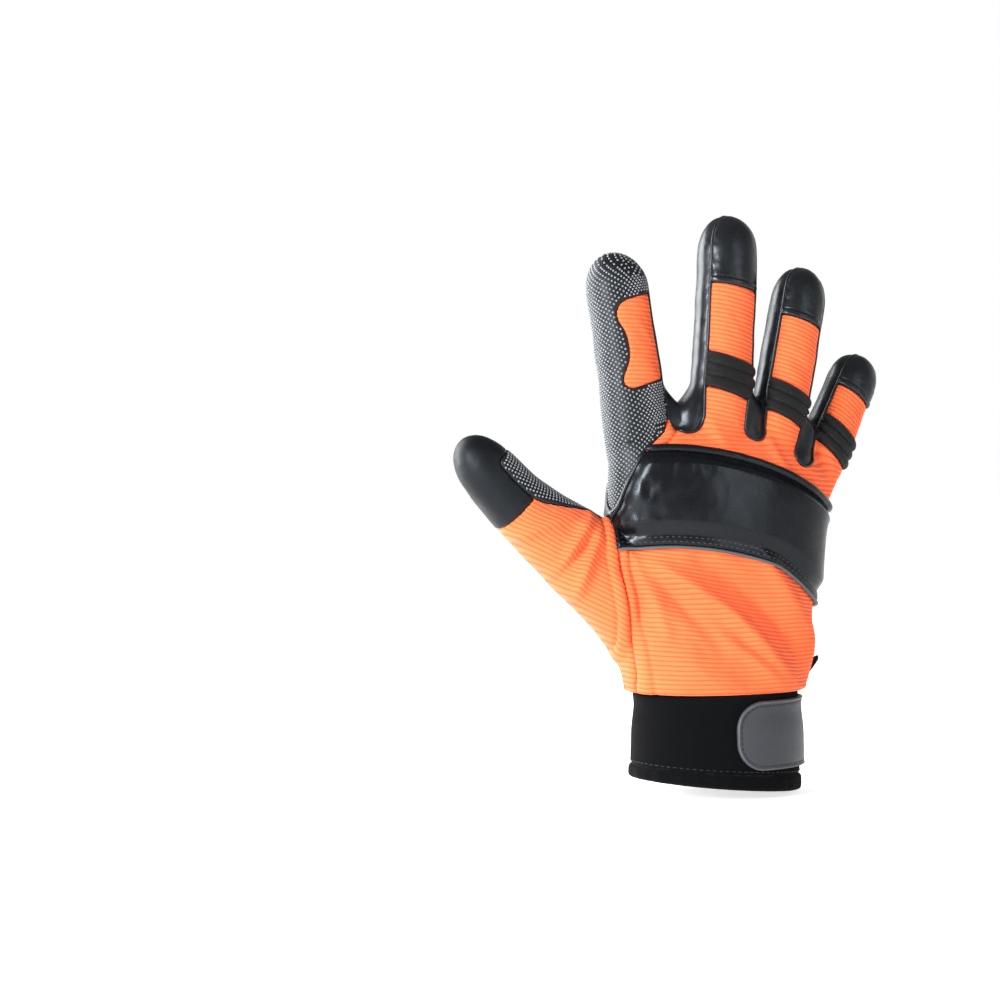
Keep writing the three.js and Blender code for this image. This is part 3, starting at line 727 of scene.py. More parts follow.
def tube(line, radius, rise=0.0, sides=8, flat=1.0, ends=1.0):
    """Points and triangles of a cord that lies along a line on the form."""
    places, normals, closed = line
    count = len(places)
    run = tangents(places, closed)
    across = np.cross(run, normals)
    across /= np.linalg.norm(across, axis=1, keepdims=True)
    out = np.cross(across, run)
    scale = np.ones(count)
    if not closed:
        from_end = np.minimum(np.arange(count), np.arange(count)[::-1])
        scale = np.sqrt(np.clip((from_end + 0.15) / (ends * 1.5), 0.1, 1))
    angle = ring_angles(sides)
    c, s = np.cos(angle), np.sin(angle)
    centre = places + out * rise
    radii = (radius * scale)[:, None, None]
    points = centre[:, None] + radii * (across[:, None] * c[:, None] + out[:, None] * s[:, None] * flat)
    points = points.reshape(-1, 3)
    rings = np.arange(count) * sides
    pairs = [(k, (k + 1) % count) for k in range(count if closed else count - 1)]
    first = rings[[k for k, _ in pairs]][:, None]
    second = rings[[k for _, k in pairs]][:, None]
    i = np.arange(sides)[None]
    j = (i + 1) % sides
    tris = np.concatenate([
        np.stack([first + i, first + j, second + j], -1).reshape(-1, 3),
        np.stack([first + i, second + j, second + i], -1).reshape(-1, 3),
    ])
    if not closed:
        points = np.vstack([points, centre[0], centre[-1]])
        i, j = i[0], j[0]
        start = np.stack([np.full(sides, len(points) - 2), j, i], 1)
        end = np.stack([np.full(sides, len(points) - 1), rings[-1] + i, rings[-1] + j], 1)
        tris = np.vstack([tris, start, end])
    return points, tris


def stitches(line, pitch, length, radius, rise=0.0, sides=5):
    """Short sewn threads along a line, each bowed down into the cloth at its ends."""
    places, normals, _ = spaced(line, pitch / 6, 2)
    step = int(6 * length / pitch)
    parts = []
    for start in range(0, len(places) - step, 6):
        part = slice(start, start + step + 1)
        bow = np.sin(np.linspace(0, math.pi, step + 1))[:, None]
        sunk = places[part] + normals[part] * (rise - radius * 1.2 * (1 - bow))
        parts.append(tube((sunk, normals[part], False), radius, 0.0, sides))
    return join(parts)


def angle_of(form, name):
    """The turn about a digit in degrees: 0 at its back, positive on the little finger's side."""
    return np.degrees(np.arctan2(form[name + "_w"], form[name + "_d"]))


def measure(points):
    """The numbers that the fields of the panels are made of."""
    table = {"place": points}
    power = HAND["squareness"]
    for name, digit in digits.items():
        s, w, d = digit.local(points)
        wide, deep = digit.half_sizes(s)
        ratio = (np.abs(w / wide) ** power + np.abs(d / deep) ** power) ** (1 / power)
        table[name + "_s"] = s
        table[name + "_w"] = w
        table[name + "_d"] = d
        table[name + "_away"] = (ratio - 1) * np.minimum(wide, deep)
    return table


def nearest_other(form, name):
    """How much nearer a point is to this digit's wall than to any other digit's."""
    others = [form[other + "_away"] for other in NAMES if other != name]
    return np.min(others, axis=0) - form[name + "_away"]


def zone(form, name, start=0.0):
    """Positive on a digit above a place on its length."""
    return np.minimum(form[name + "_s"] - start, nearest_other(form, name) * 0.7)


def index_zone(form):
    """The index finger above its base, without the back cloth that reaches up beside it."""
    beside = np.maximum(-side_field(form), form["place"][:, 1] - 6)
    return np.minimum(zone(form, "index"), beside)


def strip(form, name, low, high):
    """Positive between two turns about a digit."""
    angle = angle_of(form, name)
    radius = (DIGITS[name]["half_width"] + DIGITS[name]["half_depth"]) / 2
    return np.minimum(angle - low, high - angle) * math.pi / 180 * radius


def per_degree(name):
    """Millimetres along a finger's wall for each degree about it."""
    return DIGITS[name]["half_width"] * math.pi / 180


def front_angle(form, name):
    """The turn about a digit from the middle of its palm side, in degrees."""
    return np.degrees(np.arctan2(form[name + "_w"], -form[name + "_d"]))


def slanted(form, name, slant):
    angle = np.radians(angle_of(form, name))
    return form[name + "_s"] + slant * np.sin(angle)


def band_range(name):
    start = PANELS[name]["band"] * DIGITS[name]["length"]
    return start, start + BAND["height"] * DIGITS[name]["half_width"] / DIGITS["middle"]["half_width"]


def soft_max(a, b, size):
    """The larger of two fields, with the corner between their shapes rounded."""
    h = np.clip(0.5 + 0.5 * (a - b) / size, 0, 1)
    return b + (a - b) * h + size * h * (1 - h)


def from_segment(p, a, b):
    """The share along a segment of each point's nearest place on it, and how far away that is."""
    run = b - a
    t = np.clip(((p - a) @ run) / (run @ run), 0, 1)
    return t, np.linalg.norm(p - (a + t[:, None] * run), axis=1)


def polyline_side(points, line):
    """Signed distance in X and Z to a line of corners: positive on its right as it runs."""
    best = np.full(len(points), np.inf)
    sign = np.ones(len(points))
    p = points[:, [0, 2]]
    for a, b in zip(line[:-1], line[1:]):
        _, gap = from_segment(p, a, b)
        cross = (b - a)[0] * (p[:, 1] - a[1]) - (b - a)[1] * (p[:, 0] - a[0])
        nearer = gap < best - 1e-6
        best = np.where(nearer, gap, best)
        sign = np.where(nearer, -np.sign(cross), sign)
    return best * sign


def on_hand(rows):
    """Shares of the half width and length as X and Z."""
    return [(across * HAND["half_width"], PALM_BASE + up * HAND["length"]) for across, up in rows]


def rounded(line, rounds=3):
    """The same open line with its corners cut round."""
    line = np.array(line, float)
    for _ in range(rounds):
        a, b = line[:-1], line[1:]
        middle = np.stack([0.75 * a + 0.25 * b, 0.25 * a + 0.75 * b], 1).reshape(-1, 2)
        line = np.vstack([line[:1], middle, line[-1:]])
    return line


def side_field(form):
    """Positive on the back cloth's side of the seam past the thumb and the index finger."""
    return polyline_side(form["place"], rounded(on_hand(THUMB_SEAM + INDEX_SEAM)))


def back_field(form):
    """Positive on the back of the hand, in front of the side seams and inside the thumb's seam."""
    x, y, _ = form["place"].T
    slope = (THUMB_SEAM_DEPTH - SIDE_SEAM_DEPTH) / (1.5 * HAND["half_width"])
    return np.minimum(SIDE_SEAM_DEPTH + np.maximum(0, -x) * slope - y, side_field(form))


def thumb_back_field(form):
    """Positive in front of the plane that turns about the thumb's middle line."""
    base, _, _, sideways = digits["thumb"].at(0.0)
    turn = math.radians(THUMB_CAP["seam_turn"])
    normal = math.cos(turn) * np.array([0, 1, 0]) + math.sin(turn) * sideways
    share = smooth_step(THUMB_WEDGE["start"], THUMB_WEDGE["end"], form["thumb_s"])
    wedge = THUMB_WEDGE["root"] * (1 - share) + THUMB_WEDGE["tip"] * share
    wedge *= smooth_step(*THUMB_WEDGE["across"], form["thumb_w"])
    wedge *= smooth_step(*THUMB_WEDGE["edge"], form["place"][:, 0])
    return THUMB_CAP["seam_shift"] - wedge - (form["place"] - base) @ normal


def thumb_cap_field(form):
    """Positive on the thumb's leather tip, which leaves a tongue of grip on the palm side."""
    start = DIGITS["thumb"]["length"] - THUMB_CAP["length"]
    along = form["thumb_s"] - start
    own = np.minimum(nearest_other(form, "thumb"), along)
    wrap = strip(form, "thumb", THUMB_CAP["low"], THUMB_CAP["high"])
    tip = form["thumb_s"] - (DIGITS["thumb"]["length"] - THUMB_CAP["grip_end"])
    return np.minimum(own, soft_max(wrap, tip, 4))


def guard_heights(form):
    """How far a point is above the knuckle guard's lower edge and below its upper edge."""
    x, _, z = form["place"].T
    across = x / HAND["half_width"]
    line = PALM_BASE + read_table(GUARD_ROWS, "across", across, "up") * HAND["length"]
    drop = GUARD["drop"] * smooth_step(0.3, 0.9, across)
    return z - (line - GUARD_HALF - drop), line + GUARD_HALF - z


def tongue_field(form, a, b):
    """Positive in the tongue below the fork between two fingers, seen from the back or the palm."""
    spec = FORKS[a, b]
    p, q = digits[a].base, digits[b].base
    centre = (p[0] + q[0]) / 2 + (digits[a].half_width - digits[b].half_width) / 2
    level = min(p[2], q[2]) + (WEB["low"] + WEB["high"]) / 2
    tilt = math.radians((digits[a].splay + digits[b].splay) / 2)
    x, _, z = form["place"].T
    u = (x - centre) * math.cos(tilt) - (z - level) * math.sin(tilt)
    v = (x - centre) * math.sin(tilt) + (z - level) * math.cos(tilt)
    half = spec["width"] / 2
    low = v - (spec["low"] - (WEB["high"] - WEB["low"]) / 2 + half)
    low -= PALM_TONGUE * smooth_step(0, 6, form["place"][:, 1])
    return np.minimum(half - np.hypot(u, np.minimum(0, low)), sum(WEB_TOPS[a, b]) - 10 - v), low


def flank(form, name, side):
    """Positive on one flank of a finger, between its back panel and its palm side."""
    spec = PANELS[name]
    low, high = (spec["high"], FLANK_ANGLE) if side > 0 else (-FLANK_ANGLE, spec["low"])
    return np.minimum(zone(form, name, -2.0), strip(form, name, low, high))


def fork_field(form, a, b):
    """Positive on the leather strip that runs up one finger's flank and down the next one's."""
    flanks = np.maximum(flank(form, a, 1), flank(form, b, -1))
    tongue, low = tongue_field(form, a, b)
    return soft_max(np.minimum(flanks, low), tongue, 3)


def index_window(form):
    """The index finger's knit panel, with two lobes reaching into the grip on its outer side."""
    spec = PANELS["index"]
    start = spec["start"] * DIGITS["index"]["length"]
    along = slanted(form, "index", -2.5)
    share = (along - start) / spec["length"]
    lobes = sum(depth * bell(share - at, width) for at, width, depth in INDEX_LOBES)
    radius = per_degree("index")
    side = (angle_of(form, "index") - spec["low"]) * radius + lobes
    ends = np.minimum(along - start, start + spec["length"] - along)
    right = (spec["high"] + 8 - angle_of(form, "index")) * radius
    return np.minimum(-soft_max(-side, -ends, 4), right)


def grip_field(form):
    """Positive on the dotted patch of the palm, with its tongues up the fingers."""
    field = polyline_side(form["place"], rounded(on_hand(GRIP_EDGE)))
    for name, reach in GRIP_TONGUES.items():
        turn = front_angle(form, name)
        tongue = reach - form[name + "_s"] - 9 * (turn / 60) ** 4
        on_finger = (form[name + "_s"] > 0) & (nearest_other(form, name) > 0)
        field = np.where(on_finger, np.minimum(zone(form, name), tongue), field)
    return field


def index_notches(form):
    """Positive on the smooth inner side of the index finger and the bars across its joints."""
    turn = front_angle(form, "index")
    radius = per_degree("index")
    edge = (FLANK_ANGLE + NOTCH["reach"] - turn) * radius
    over = np.maximum(0, (NOTCH["start"] - turn) * radius)
    bars = [np.minimum(half - np.hypot(form["index_s"] - at, over), edge) for at, half in INDEX_NOTCHES]
    inner = np.minimum((turn - NOTCH["inner"]) * radius, edge)
    inner = np.minimum(inner, INDEX_NOTCHES[0][0] + NOTCH["above"] - form["index_s"])
    return np.max([inner, *bars], axis=0)


def tip_grip_field(form, name):
    """Positive on the dotted patch of a fingertip, which ends round just below the tip's seam."""
    digit = digits[name]
    turn = front_angle(form, name)
    start = digit.length - PANELS[name]["grip"]
    top = digit.length + TIP_GRIP["top"] * digit.dome
    share = smooth_step(TIP_GRIP["narrows_from"], 1.0, (form[name + "_s"] - start) / (top - start))
    narrow = TIP_GRIP["narrow"] + TIP_GRIP["tip_narrow"] * share**2
    side = (180 - FLANK_ANGLE - np.abs(turn)) * per_degree(name) - narrow
    return np.minimum(np.minimum(form[name + "_s"] - start, top - form[name + "_s"]), side)


def noise_at(points, scale, octaves=2, shift=0.0):
    """Smooth noise from about -1 to 1 for many points, at a size in millimetres."""
    moved = points / scale + shift
    return np.array([noise.fractal(Vector(p), 1.0, 2.0, octaves) for p in moved])


def near_line(points, line, spread, start=0.12, end=0.88):
    """A soft ridge from 0 to 1 along a curved line of corners in X and Z, lower towards its ends."""
    line = rounded(line, 2)
    lengths = np.linalg.norm(np.diff(line, axis=0), axis=1)
    run_to = np.concatenate([[0], np.cumsum(lengths)]) / lengths.sum()
    best = np.full(len(points), np.inf)
    share = np.zeros(len(points))
    p = points[:, [0, 2]]
    for a, b, from_run, to_run in zip(line[:-1], line[1:], run_to[:-1], run_to[1:]):
        t, gap = from_segment(p, a, b)
        nearer = gap < best
        best = np.where(nearer, gap, best)
        share = np.where(nearer, from_run + (to_run - from_run) * t, share)
    return bell(best, spread) * np.sin(math.pi * (start + (end - start) * share))


def fold_relief(form):
    """Height of the long soft folds of the cloth, on the back and on the palm."""
    facing = form["normal"][:, 1]
    total = np.zeros(len(facing))
    for fold in FOLDS:
        toward = np.clip(-facing if fold["side"] == "back" else facing, 0, 1)
        total += fold["rise"] * toward * near_line(form["place"], on_hand(fold["line"]), fold["spread"])
    return total


def joint_relief(form):
    """Height of the creases across the palm side of the fingers, where the leather is bent most."""
    total = np.zeros(len(form["place"]))
    for name, places in JOINT_CREASES.items():
        turn = front_angle(form, name)
        on_front = smooth_step(70, 30, np.abs(turn)) * smooth_step(-2, 2, nearest_other(form, name))
        wave = CREASE["wave"] * np.sin(turn / 31 + len(name))
        wave += CREASE["stray"] * noise_at(form["place"], 12, 1, 5)
        for at, depth, width in places:
            away = (form[name + "_s"] - at - wave) / width
            groove = bell(away, 1) - CREASE["lip"] * bell(np.abs(away) - CREASE["lip_at"], 1)
            total -= CREASE["depth"] * depth * groove * on_front
    return total


def soft_relief(form):
    """Small unevenness of sewn leather and knit all over the glove."""
    places = form["place"]
    broad = noise_at(places, UNEVEN["broad"], 2)
    small = noise_at(places * TALL_GRAIN, UNEVEN["small"], 2, 40)
    return UNEVEN["broad_height"] * broad + UNEVEN["small_height"] * small


def slack_relief(form):
    """Short diagonal waves of slack knit."""
    x, y, z = form["place"].T
    along, deep, across = (x - z) / SLACK["across"], y / SLACK["deep"], (x + z) / SLACK["along"]
    return SLACK["height"] * noise_at(np.stack([along, deep, across], 1), 1.0, 2, 11)


def shape_panels(cloth):
    """Every sewn panel of the glove's skin, cut in turn along its own seams, with its edge distances."""
    panels = {}
    for a, b in FORKS:
        strap, cloth = cloth.cut(fork_field(cloth, a, b))
        panels[f"{a}_{b}_fork"] = with_gap(largest(strap))
    own, cloth = cloth.cut(index_zone(cloth))
    panel, index_grip = own.cut(index_window(own))
    panels["index_panel"] = with_gap(panel)
    below, strays = [], []
    for name in BANDED:
        spec = PANELS[name]
        own, cloth = cloth.cut(zone(cloth, name))
        dorsal, front = own.cut(strip(own, name, spec["low"], spec["high"]))
        stray, front = front.cut(np.minimum(back_field(front) - 0.5, 5 - front[f"{name}_s"]))
        below.append(front)
        strays.append(stray)
        band_start, band_end = band_range(name)
        low, dorsal = dorsal.cut(band_start - slanted(dorsal, name, BAND["slant"]))
        panels[f"{name}_low"] = low
        band, dorsal = dorsal.cut(band_end - slanted(dorsal, name, BAND["slant"]))
        panels[f"{name}_flex_band"] = with_gap(refine(largest(band)))
        cap_start = DIGITS[name]["length"] - spec["cap"]
        cap, panel = dorsal.cut(slanted(dorsal, name, CAP_SLANT) - cap_start)
        panels[f"{name}_tip_cap"] = with_gap(refine(largest(cap)))
        panels[f"{name}_panel"] = with_gap(largest(panel))
    cap, cloth = cloth.cut(thumb_cap_field(cloth))
    panels["thumb_tip_cap"] = with_gap(largest(cap))
    back, cloth = cloth.cut(back_field(cloth))
    lows = [panels.pop(f"{name}_low") for name in BANDED]
    panels["back_panel"] = with_gap(largest(merged([back] + lows + strays)))
    thumb, cloth = cloth.cut(thumb_back_field(cloth))
    panels["thumb_panel"] = with_gap(largest(thumb))
    rest = merged([cloth, index_grip] + below)
    notches = np.minimum(index_notches(rest), zone(rest, "index"))
    grip, leather = rest.cut(np.minimum(grip_field(rest), -notches))
    grip = with_gap(largest(grip))
    panels["index_grip"], panels["palm_grip"] = grip.cut(zone(grip, "index"))
    patches = {}
    for name in BANDED:
        own, leather = leather.cut(zone(leather, name))
        patch, own = own.cut(tip_grip_field(own, name))
        patches[f"{name}_tip_grip"] = with_gap(largest(patch))
        panels[f"{name}_sleeve"] = own
    sleeves = [panels[f"{name}_sleeve"] for name in BANDED]
    whole = with_gap(merged([leather] + sleeves))
    for name in BANDED:
        own, whole = whole.cut(zone(whole, name))
        panels[f"{name}_sleeve"] = largest(own)
    panels["index_front"], whole = whole.cut(zone(whole, "index"))
    panels["palm_panel"] = whole
    panels.update(patches)
    return panels


def rolled(gap, roll, dip):
    """How far a sewn edge turns down, by the distance from it."""
    t = np.clip(1 - gap / roll, 0, 1)
    return -dip * (1 - np.sqrt(1 - t * t))


def bulge(away, height, width):
    """A round ridge beside a seam, with a groove along its far side."""
    ridge = np.sqrt(np.clip(1 - ((away - width / 2) / (width / 2)) ** 2, 0, 1))
    return height * ridge - 0.4 * bell(away - width - 0.4, 0.6)


def raised(form, height):
    """A form's outer face at a height above the skin, with its own normals."""
    table = dict(form.table)
    table["place"] = form["place"] + form["normal"] * height[:, None]
    table["normal"] = vertex_normals(table["place"], form.tris)
    return Form(form.tris, table)


def closed_panel(form, height, lining):
    """Points and triangles of a panel: its outer face, its lining and the rim between them."""
    outer = form["place"] + form["normal"] * height[:, None]
    inner = form["place"] + form["normal"] * np.minimum(lining, height - 0.3)[:, None]
    rim = boundary_edges(form.tris)
    count = len(outer)
    a, b = rim.T
    wall = np.vstack([np.stack([a, a + count, b], 1), np.stack([b, a + count, b + count], 1)])
    return np.vstack([outer, inner]), np.vstack([form.tris, form.tris[:, ::-1] + count, wall])


def add_piece(name, points, faces, look, nodes, columns):
    mesh = make_mesh(name, points, faces)
    for key, values in columns.items():
        layer = mesh.attributes.new(key, "FLOAT", "POINT")
        layer.data.foreach_set("value", values.astype(np.float32))
    mesh.shade_smooth()
    mesh.materials.append(looks[look])
    obj = new_object(name, mesh)
    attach(obj, "root")
    if nodes:
        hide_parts(*nodes)
    return obj


def add_panel(name, form, height, look, nodes=(), columns=None, lining=-WALL):
    """Adds a panel with its distances from the edge and any other columns as attributes."""
    points, tris = closed_panel(form, height, lining)
    columns = {**(columns or {}), "gap": form["gap"]}
    doubled = {key: np.concatenate([values, values]) for key, values in columns.items()}
    return add_piece(name, points, tris, look, nodes, doubled)


# Materials

def new_look(name, color, roughness, specular=0.5, sheen=0.0):
    look = bpy.data.materials.new(name)
    look.use_nodes = True
    shader = look.node_tree.nodes["Principled BSDF"]
    shader.inputs["Base Color"].default_value = (*color, 1)
    shader.inputs["Roughness"].default_value = roughness
    shader.inputs["Specular IOR Level"].default_value = specular
    if sheen:
        shader.inputs["Sheen Weight"].default_value = sheen
        shader.inputs["Sheen Roughness"].default_value = 0.4
    return look


class Nodes:
    """Short names for building a material's nodes and links."""

    def __init__(self, look):
        self.tree = look.node_tree
        self.shader = self.tree.nodes["Principled BSDF"]

    def add(self, kind, inputs=None, **settings):
        node = self.tree.nodes.new(kind)
        for key, value in settings.items():
            setattr(node, key, value)
        for key, value in (inputs or {}).items():
            socket = node.inputs[key]
            if isinstance(value, bpy.types.NodeSocket):
                self.tree.links.new(value, socket)
            else:
                socket.default_value = value
        return node

    def place(self):
        return self.add("ShaderNodeTexCoord").outputs["Object"]

    def math(self, operation, a, b=0.0):
        return self.add("ShaderNodeMath", {0: a, 1: b}, operation=operation).outputs[0]

    def noise(self, scale, detail):
        inputs = {"Vector": self.place(), "Scale": scale, "Detail": detail}
        return self.add("ShaderNodeTexNoise", inputs).outputs["Fac"]

    def cells(self, scale, feature="F1"):
        inputs = {"Vector": self.place(), "Scale": scale}
        return self.add("ShaderNodeTexVoronoi", inputs, feature=feature).outputs["Distance"]

    def ranged(self, value, low, high, to_low, to_high):
        inputs = {"Value": value, "From Min": low, "From Max": high, "To Min": to_low, "To Max": to_high}
        return self.add("ShaderNodeMapRange", inputs).outputs["Result"]

    def mixed(self, share, a, b):
        inputs = {"Factor": share, "A": (*a, 1), "B": (*b, 1)}
        node = self.tree.nodes.new("ShaderNodeMix")
        node.data_type = "RGBA"
        sockets = {s.name: s for s in node.inputs if s.enabled}
        for key, value in inputs.items():
            if isinstance(value, bpy.types.NodeSocket):
                self.tree.links.new(value, sockets[key])
            else:
                sockets[key].default_value = value
        return [s for s in node.outputs if s.enabled][0]

    def value_of(self, attribute):
        return self.add("ShaderNodeAttribute", attribute_name=attribute).outputs["Fac"]

    def bump(self, height, distance, strength):
        inputs = {"Height": height, "Distance": distance, "Strength": strength}
        return self.add("ShaderNodeBump", inputs).outputs["Normal"]

    def to_shader(self, **sockets):
        for key, value in sockets.items():
            self.tree.links.new(value, self.shader.inputs[key.replace("_", " ")])


def knit_look():
    """Orange corded knit: ribs from the rib attribute, fine loops across them and painted shade in their
    grooves.
    """
    look = new_look("orange_corded_knit", (0.95, 0.15, 0.03), 0.85, 0.15, 0.1)
    n = Nodes(look)
    rib = n.math("SINE", n.math("MULTIPLY", n.value_of("rib"), 2 * math.pi / RIB_PITCH))
    loop = n.math("SINE", n.math("MULTIPLY", n.value_of("loop"), 2 * math.pi / LOOP_PITCH))
    yarn = n.noise(2600, 2)
    cloud = n.noise(55, 3)
    height = n.math("ADD", n.math("MULTIPLY", rib, 0.5), n.math("MULTIPLY", loop, 0.1))
    height = n.math("ADD", height, n.math("MULTIPLY", yarn, 0.35))
    # Painted shade: the colour darkens in each groove between the ribs, where shade falls; the cloud noise
    # adds random tone.
    deep = n.ranged(rib, -1.0, -0.1, 0.0, 1.0)
    shade = n.math("ADD", n.math("MULTIPLY", deep, 0.75), n.math("MULTIPLY", cloud, 0.35))
    color = n.mixed(shade, (0.77, 0.078, 0.022), (1.0, 0.176, 0.060))
    n.to_shader(Base_Color=color, Normal=n.bump(height, 0.00032, 0.8))
    return look


def leather_look(name, dark, light, roughness, grain, bump, specular=0.38):
    """Smooth leather with a fine pebble, a slight cloudiness and wear along its edges."""
    look = new_look(name, dark, roughness[0], specular)
    look.node_tree.nodes["Principled BSDF"].inputs["Specular Tint"].default_value = (0.82, 0.91, 1.0, 1)
    n = Nodes(look)
    pebble = n.cells(grain, "SMOOTH_F1")
    cloud = n.noise(140, 3)
    edge = n.ranged(n.value_of("gap"), 0.0, 2.2, 1.0, 0.0)
    share = n.math("ADD", n.math("MULTIPLY", cloud, 0.5), n.math("MULTIPLY", edge, 0.45))
    rough = n.ranged(n.math("ADD", cloud, n.math("MULTIPLY", pebble, 0.25)), 0.3, 0.8, *roughness)
    height = n.math("ADD", n.math("MULTIPLY", pebble, -0.8), n.math("MULTIPLY", n.noise(420, 3), 0.7))
    n.to_shader(Base_Color=n.mixed(share, dark, light), Roughness=rough, Normal=n.bump(height, bump, 0.6))
    return look


def cloth_look(name, dark, light, roughness, scale, specular=0.2):
    """Flat jersey cloth: fine loops in rows, a little lint."""
    look = new_look(name, dark, roughness, specular, 0.03)
    n = Nodes(look)
    inputs = {"Vector": n.place(), "Scale": scale, "Distortion": 2.5}
    wave = n.add("ShaderNodeTexWave", inputs, bands_direction="Z").outputs["Fac"]
    lint = n.noise(1900, 3)
    share = n.math("ADD", n.math("MULTIPLY", wave, 0.4), n.math("MULTIPLY", lint, 0.5))
    height = n.math("ADD", wave, n.math("MULTIPLY", lint, 0.8))
    n.to_shader(Base_Color=n.mixed(share, dark, light), Normal=n.bump(height, 0.00018, 0.7))
    return look


looks = {
    "knit": knit_look(),
    "leather": leather_look(
        "black_leather", (0.0045, 0.005, 0.006), (0.011, 0.012, 0.014),
        roughness=(0.24, 0.40), grain=1500, bump=0.00005,
    ),
    # A darker, duller copy of the black leather for the thumb's tip: its darker colour is painted shade that
    # holds down the strong key light there.
    "cap": leather_look(
        "cap_leather", (0.003, 0.0034, 0.0042), (0.008, 0.0088, 0.0102),
        roughness=(0.40, 0.56), grain=1500, bump=0.00005, specular=0.2,
    ),
    "grip": leather_look(
        "grip_leather", (0.0045, 0.005, 0.006), (0.011, 0.012, 0.014),
        roughness=(0.42, 0.58), grain=1300, bump=0.00008, specular=0.28,
    ),
    "dots": leather_look(
        "grip_dots", (0.15, 0.158, 0.168), (0.27, 0.28, 0.295),
        roughness=(0.26, 0.40), grain=2600, bump=0.00003, specular=0.6,
    ),
    "elastic": cloth_look(
        "black_elastic", (0.0022, 0.0025, 0.0030), (0.0080, 0.0085, 0.0095),
        roughness=0.55, scale=900, specular=0.25,
    ),
    "neoprene": cloth_look(
        "black_jersey", (0.0020, 0.0023, 0.0028), (0.0050, 0.0056, 0.0066),
        roughness=0.95, scale=700, specular=0.04,
    ),
    "guard": leather_look(
        "guard_leather", (0.002, 0.0022, 0.003), (0.006, 0.0065, 0.008),
        roughness=(0.20, 0.32), grain=1700, bump=0.00004, specular=0.26,
    ),
    "bound": leather_look(
        "bound_edge", (0.05, 0.052, 0.056), (0.11, 0.114, 0.12),
        roughness=(0.35, 0.5), grain=1700, bump=0.00004,
    ),
    "tab": leather_look(
        "tab_leather", (0.028, 0.030, 0.034), (0.055, 0.058, 0.064),
        roughness=(0.38, 0.55), grain=1150, bump=0.00012,
    ),
}
for look, name, dark, light in (
    ("thread", "black_thread", (0.010, 0.010, 0.011), (0.02, 0.02, 0.022)),
    ("grey_thread", "grey_thread", (0.035, 0.036, 0.038), (0.06, 0.061, 0.063)),
    ("pale_thread", "pale_thread", (0.16, 0.165, 0.17), (0.24, 0.245, 0.25)),
):
    looks[look] = leather_look(name, dark, light, roughness=(0.5, 0.6), grain=3000, bump=0.00004)


def rib_columns(form):
    """The knit's coordinates in millimetres: across its ribs and along them."""
    x, _, z = form["place"].T
    up = np.clip((z - PALM_BASE) / HAND["length"], 0, 1)
    rib = z + 0.11 * x * np.sin(math.pi * up) - RIB_SHIFT * form["relief"]
    loop = x.copy()
    for name in FINGERS:
        digit = digits[name]
        share = smooth_step(-4, 12, form[name + "_s"]) * smooth_step(-3, 1, nearest_other(form, name))
        on_finger = digit.base[2] + slanted(form, name, 1.6)
        around = digit.base[0] + np.radians(angle_of(form, name)) * digit.half_width
        rib = rib * (1 - share) + on_finger * share
        loop = loop * (1 - share) + around * share
    return {"rib": rib, "loop": loop}


def thumb_rib_columns(form):
    x, _, z = form["place"].T
    turn = math.radians(THUMB_RIB_TURN)
    return {
        "rib": z * math.cos(turn) + x * math.sin(turn) - RIB_SHIFT * form["relief"],
        "loop": x * math.cos(turn) - z * math.sin(turn),
    }


def flat_maps(form):
    """Ways to lay the grip leather flat for its rows of dots: across, along and where each one holds."""
    x, y, z = form["place"].T
    around = smooth_step(26, 44, np.abs(x)) * np.sign(x) * 0.8
    maps = []
    rest = np.ones(len(x))
    for name, (low, high) in GRIP_MAPS.items():
        digit = digits[name]
        _, along, _, sideways = digit.at(0.0)
        radius = np.hypot(form[name + "_w"], form[name + "_d"])
        turn = front_angle(form, name)
        middle = INDEX_MIDDLE if name == "index" else 0
        turn = (turn - middle + 180) % 360 - 180
        arc_place = radius * np.radians(turn) + digit.half_width * math.radians(middle)
        s = form[name + "_s"]
        start = digit.length - digit.dome
        s = np.minimum(s, start) + digit.dome * np.arcsin(np.clip((s - start) / digit.dome, 0, 1))
        own_u = digit.base[0] + s * along[0] + arc_place * sideways[0]
        own_v = digit.base[2] + s * along[2] + arc_place * sideways[2]
        lower = INDEX_MAP_DROP * smooth_step(8, -2, y) if name == "index" else 0
        share = smooth_step(low, high, s + lower) * smooth_step(-6, 2, nearest_other(form, name))
        maps.append((own_u, own_v, share))
        rest = np.minimum(rest, 1 - share)
    return [(x + around * (10 - y), z, rest)] + maps


def apart(places, least):
    """Which places to keep so that none is nearer to another than a distance."""
    tree = tree_of(places)
    kept = np.ones(len(places), bool)
    for number, place in enumerate(places):
        if kept[number]:
            for _, other, _ in tree.find_range(place, least):
                kept[other] &= other <= number
    return kept


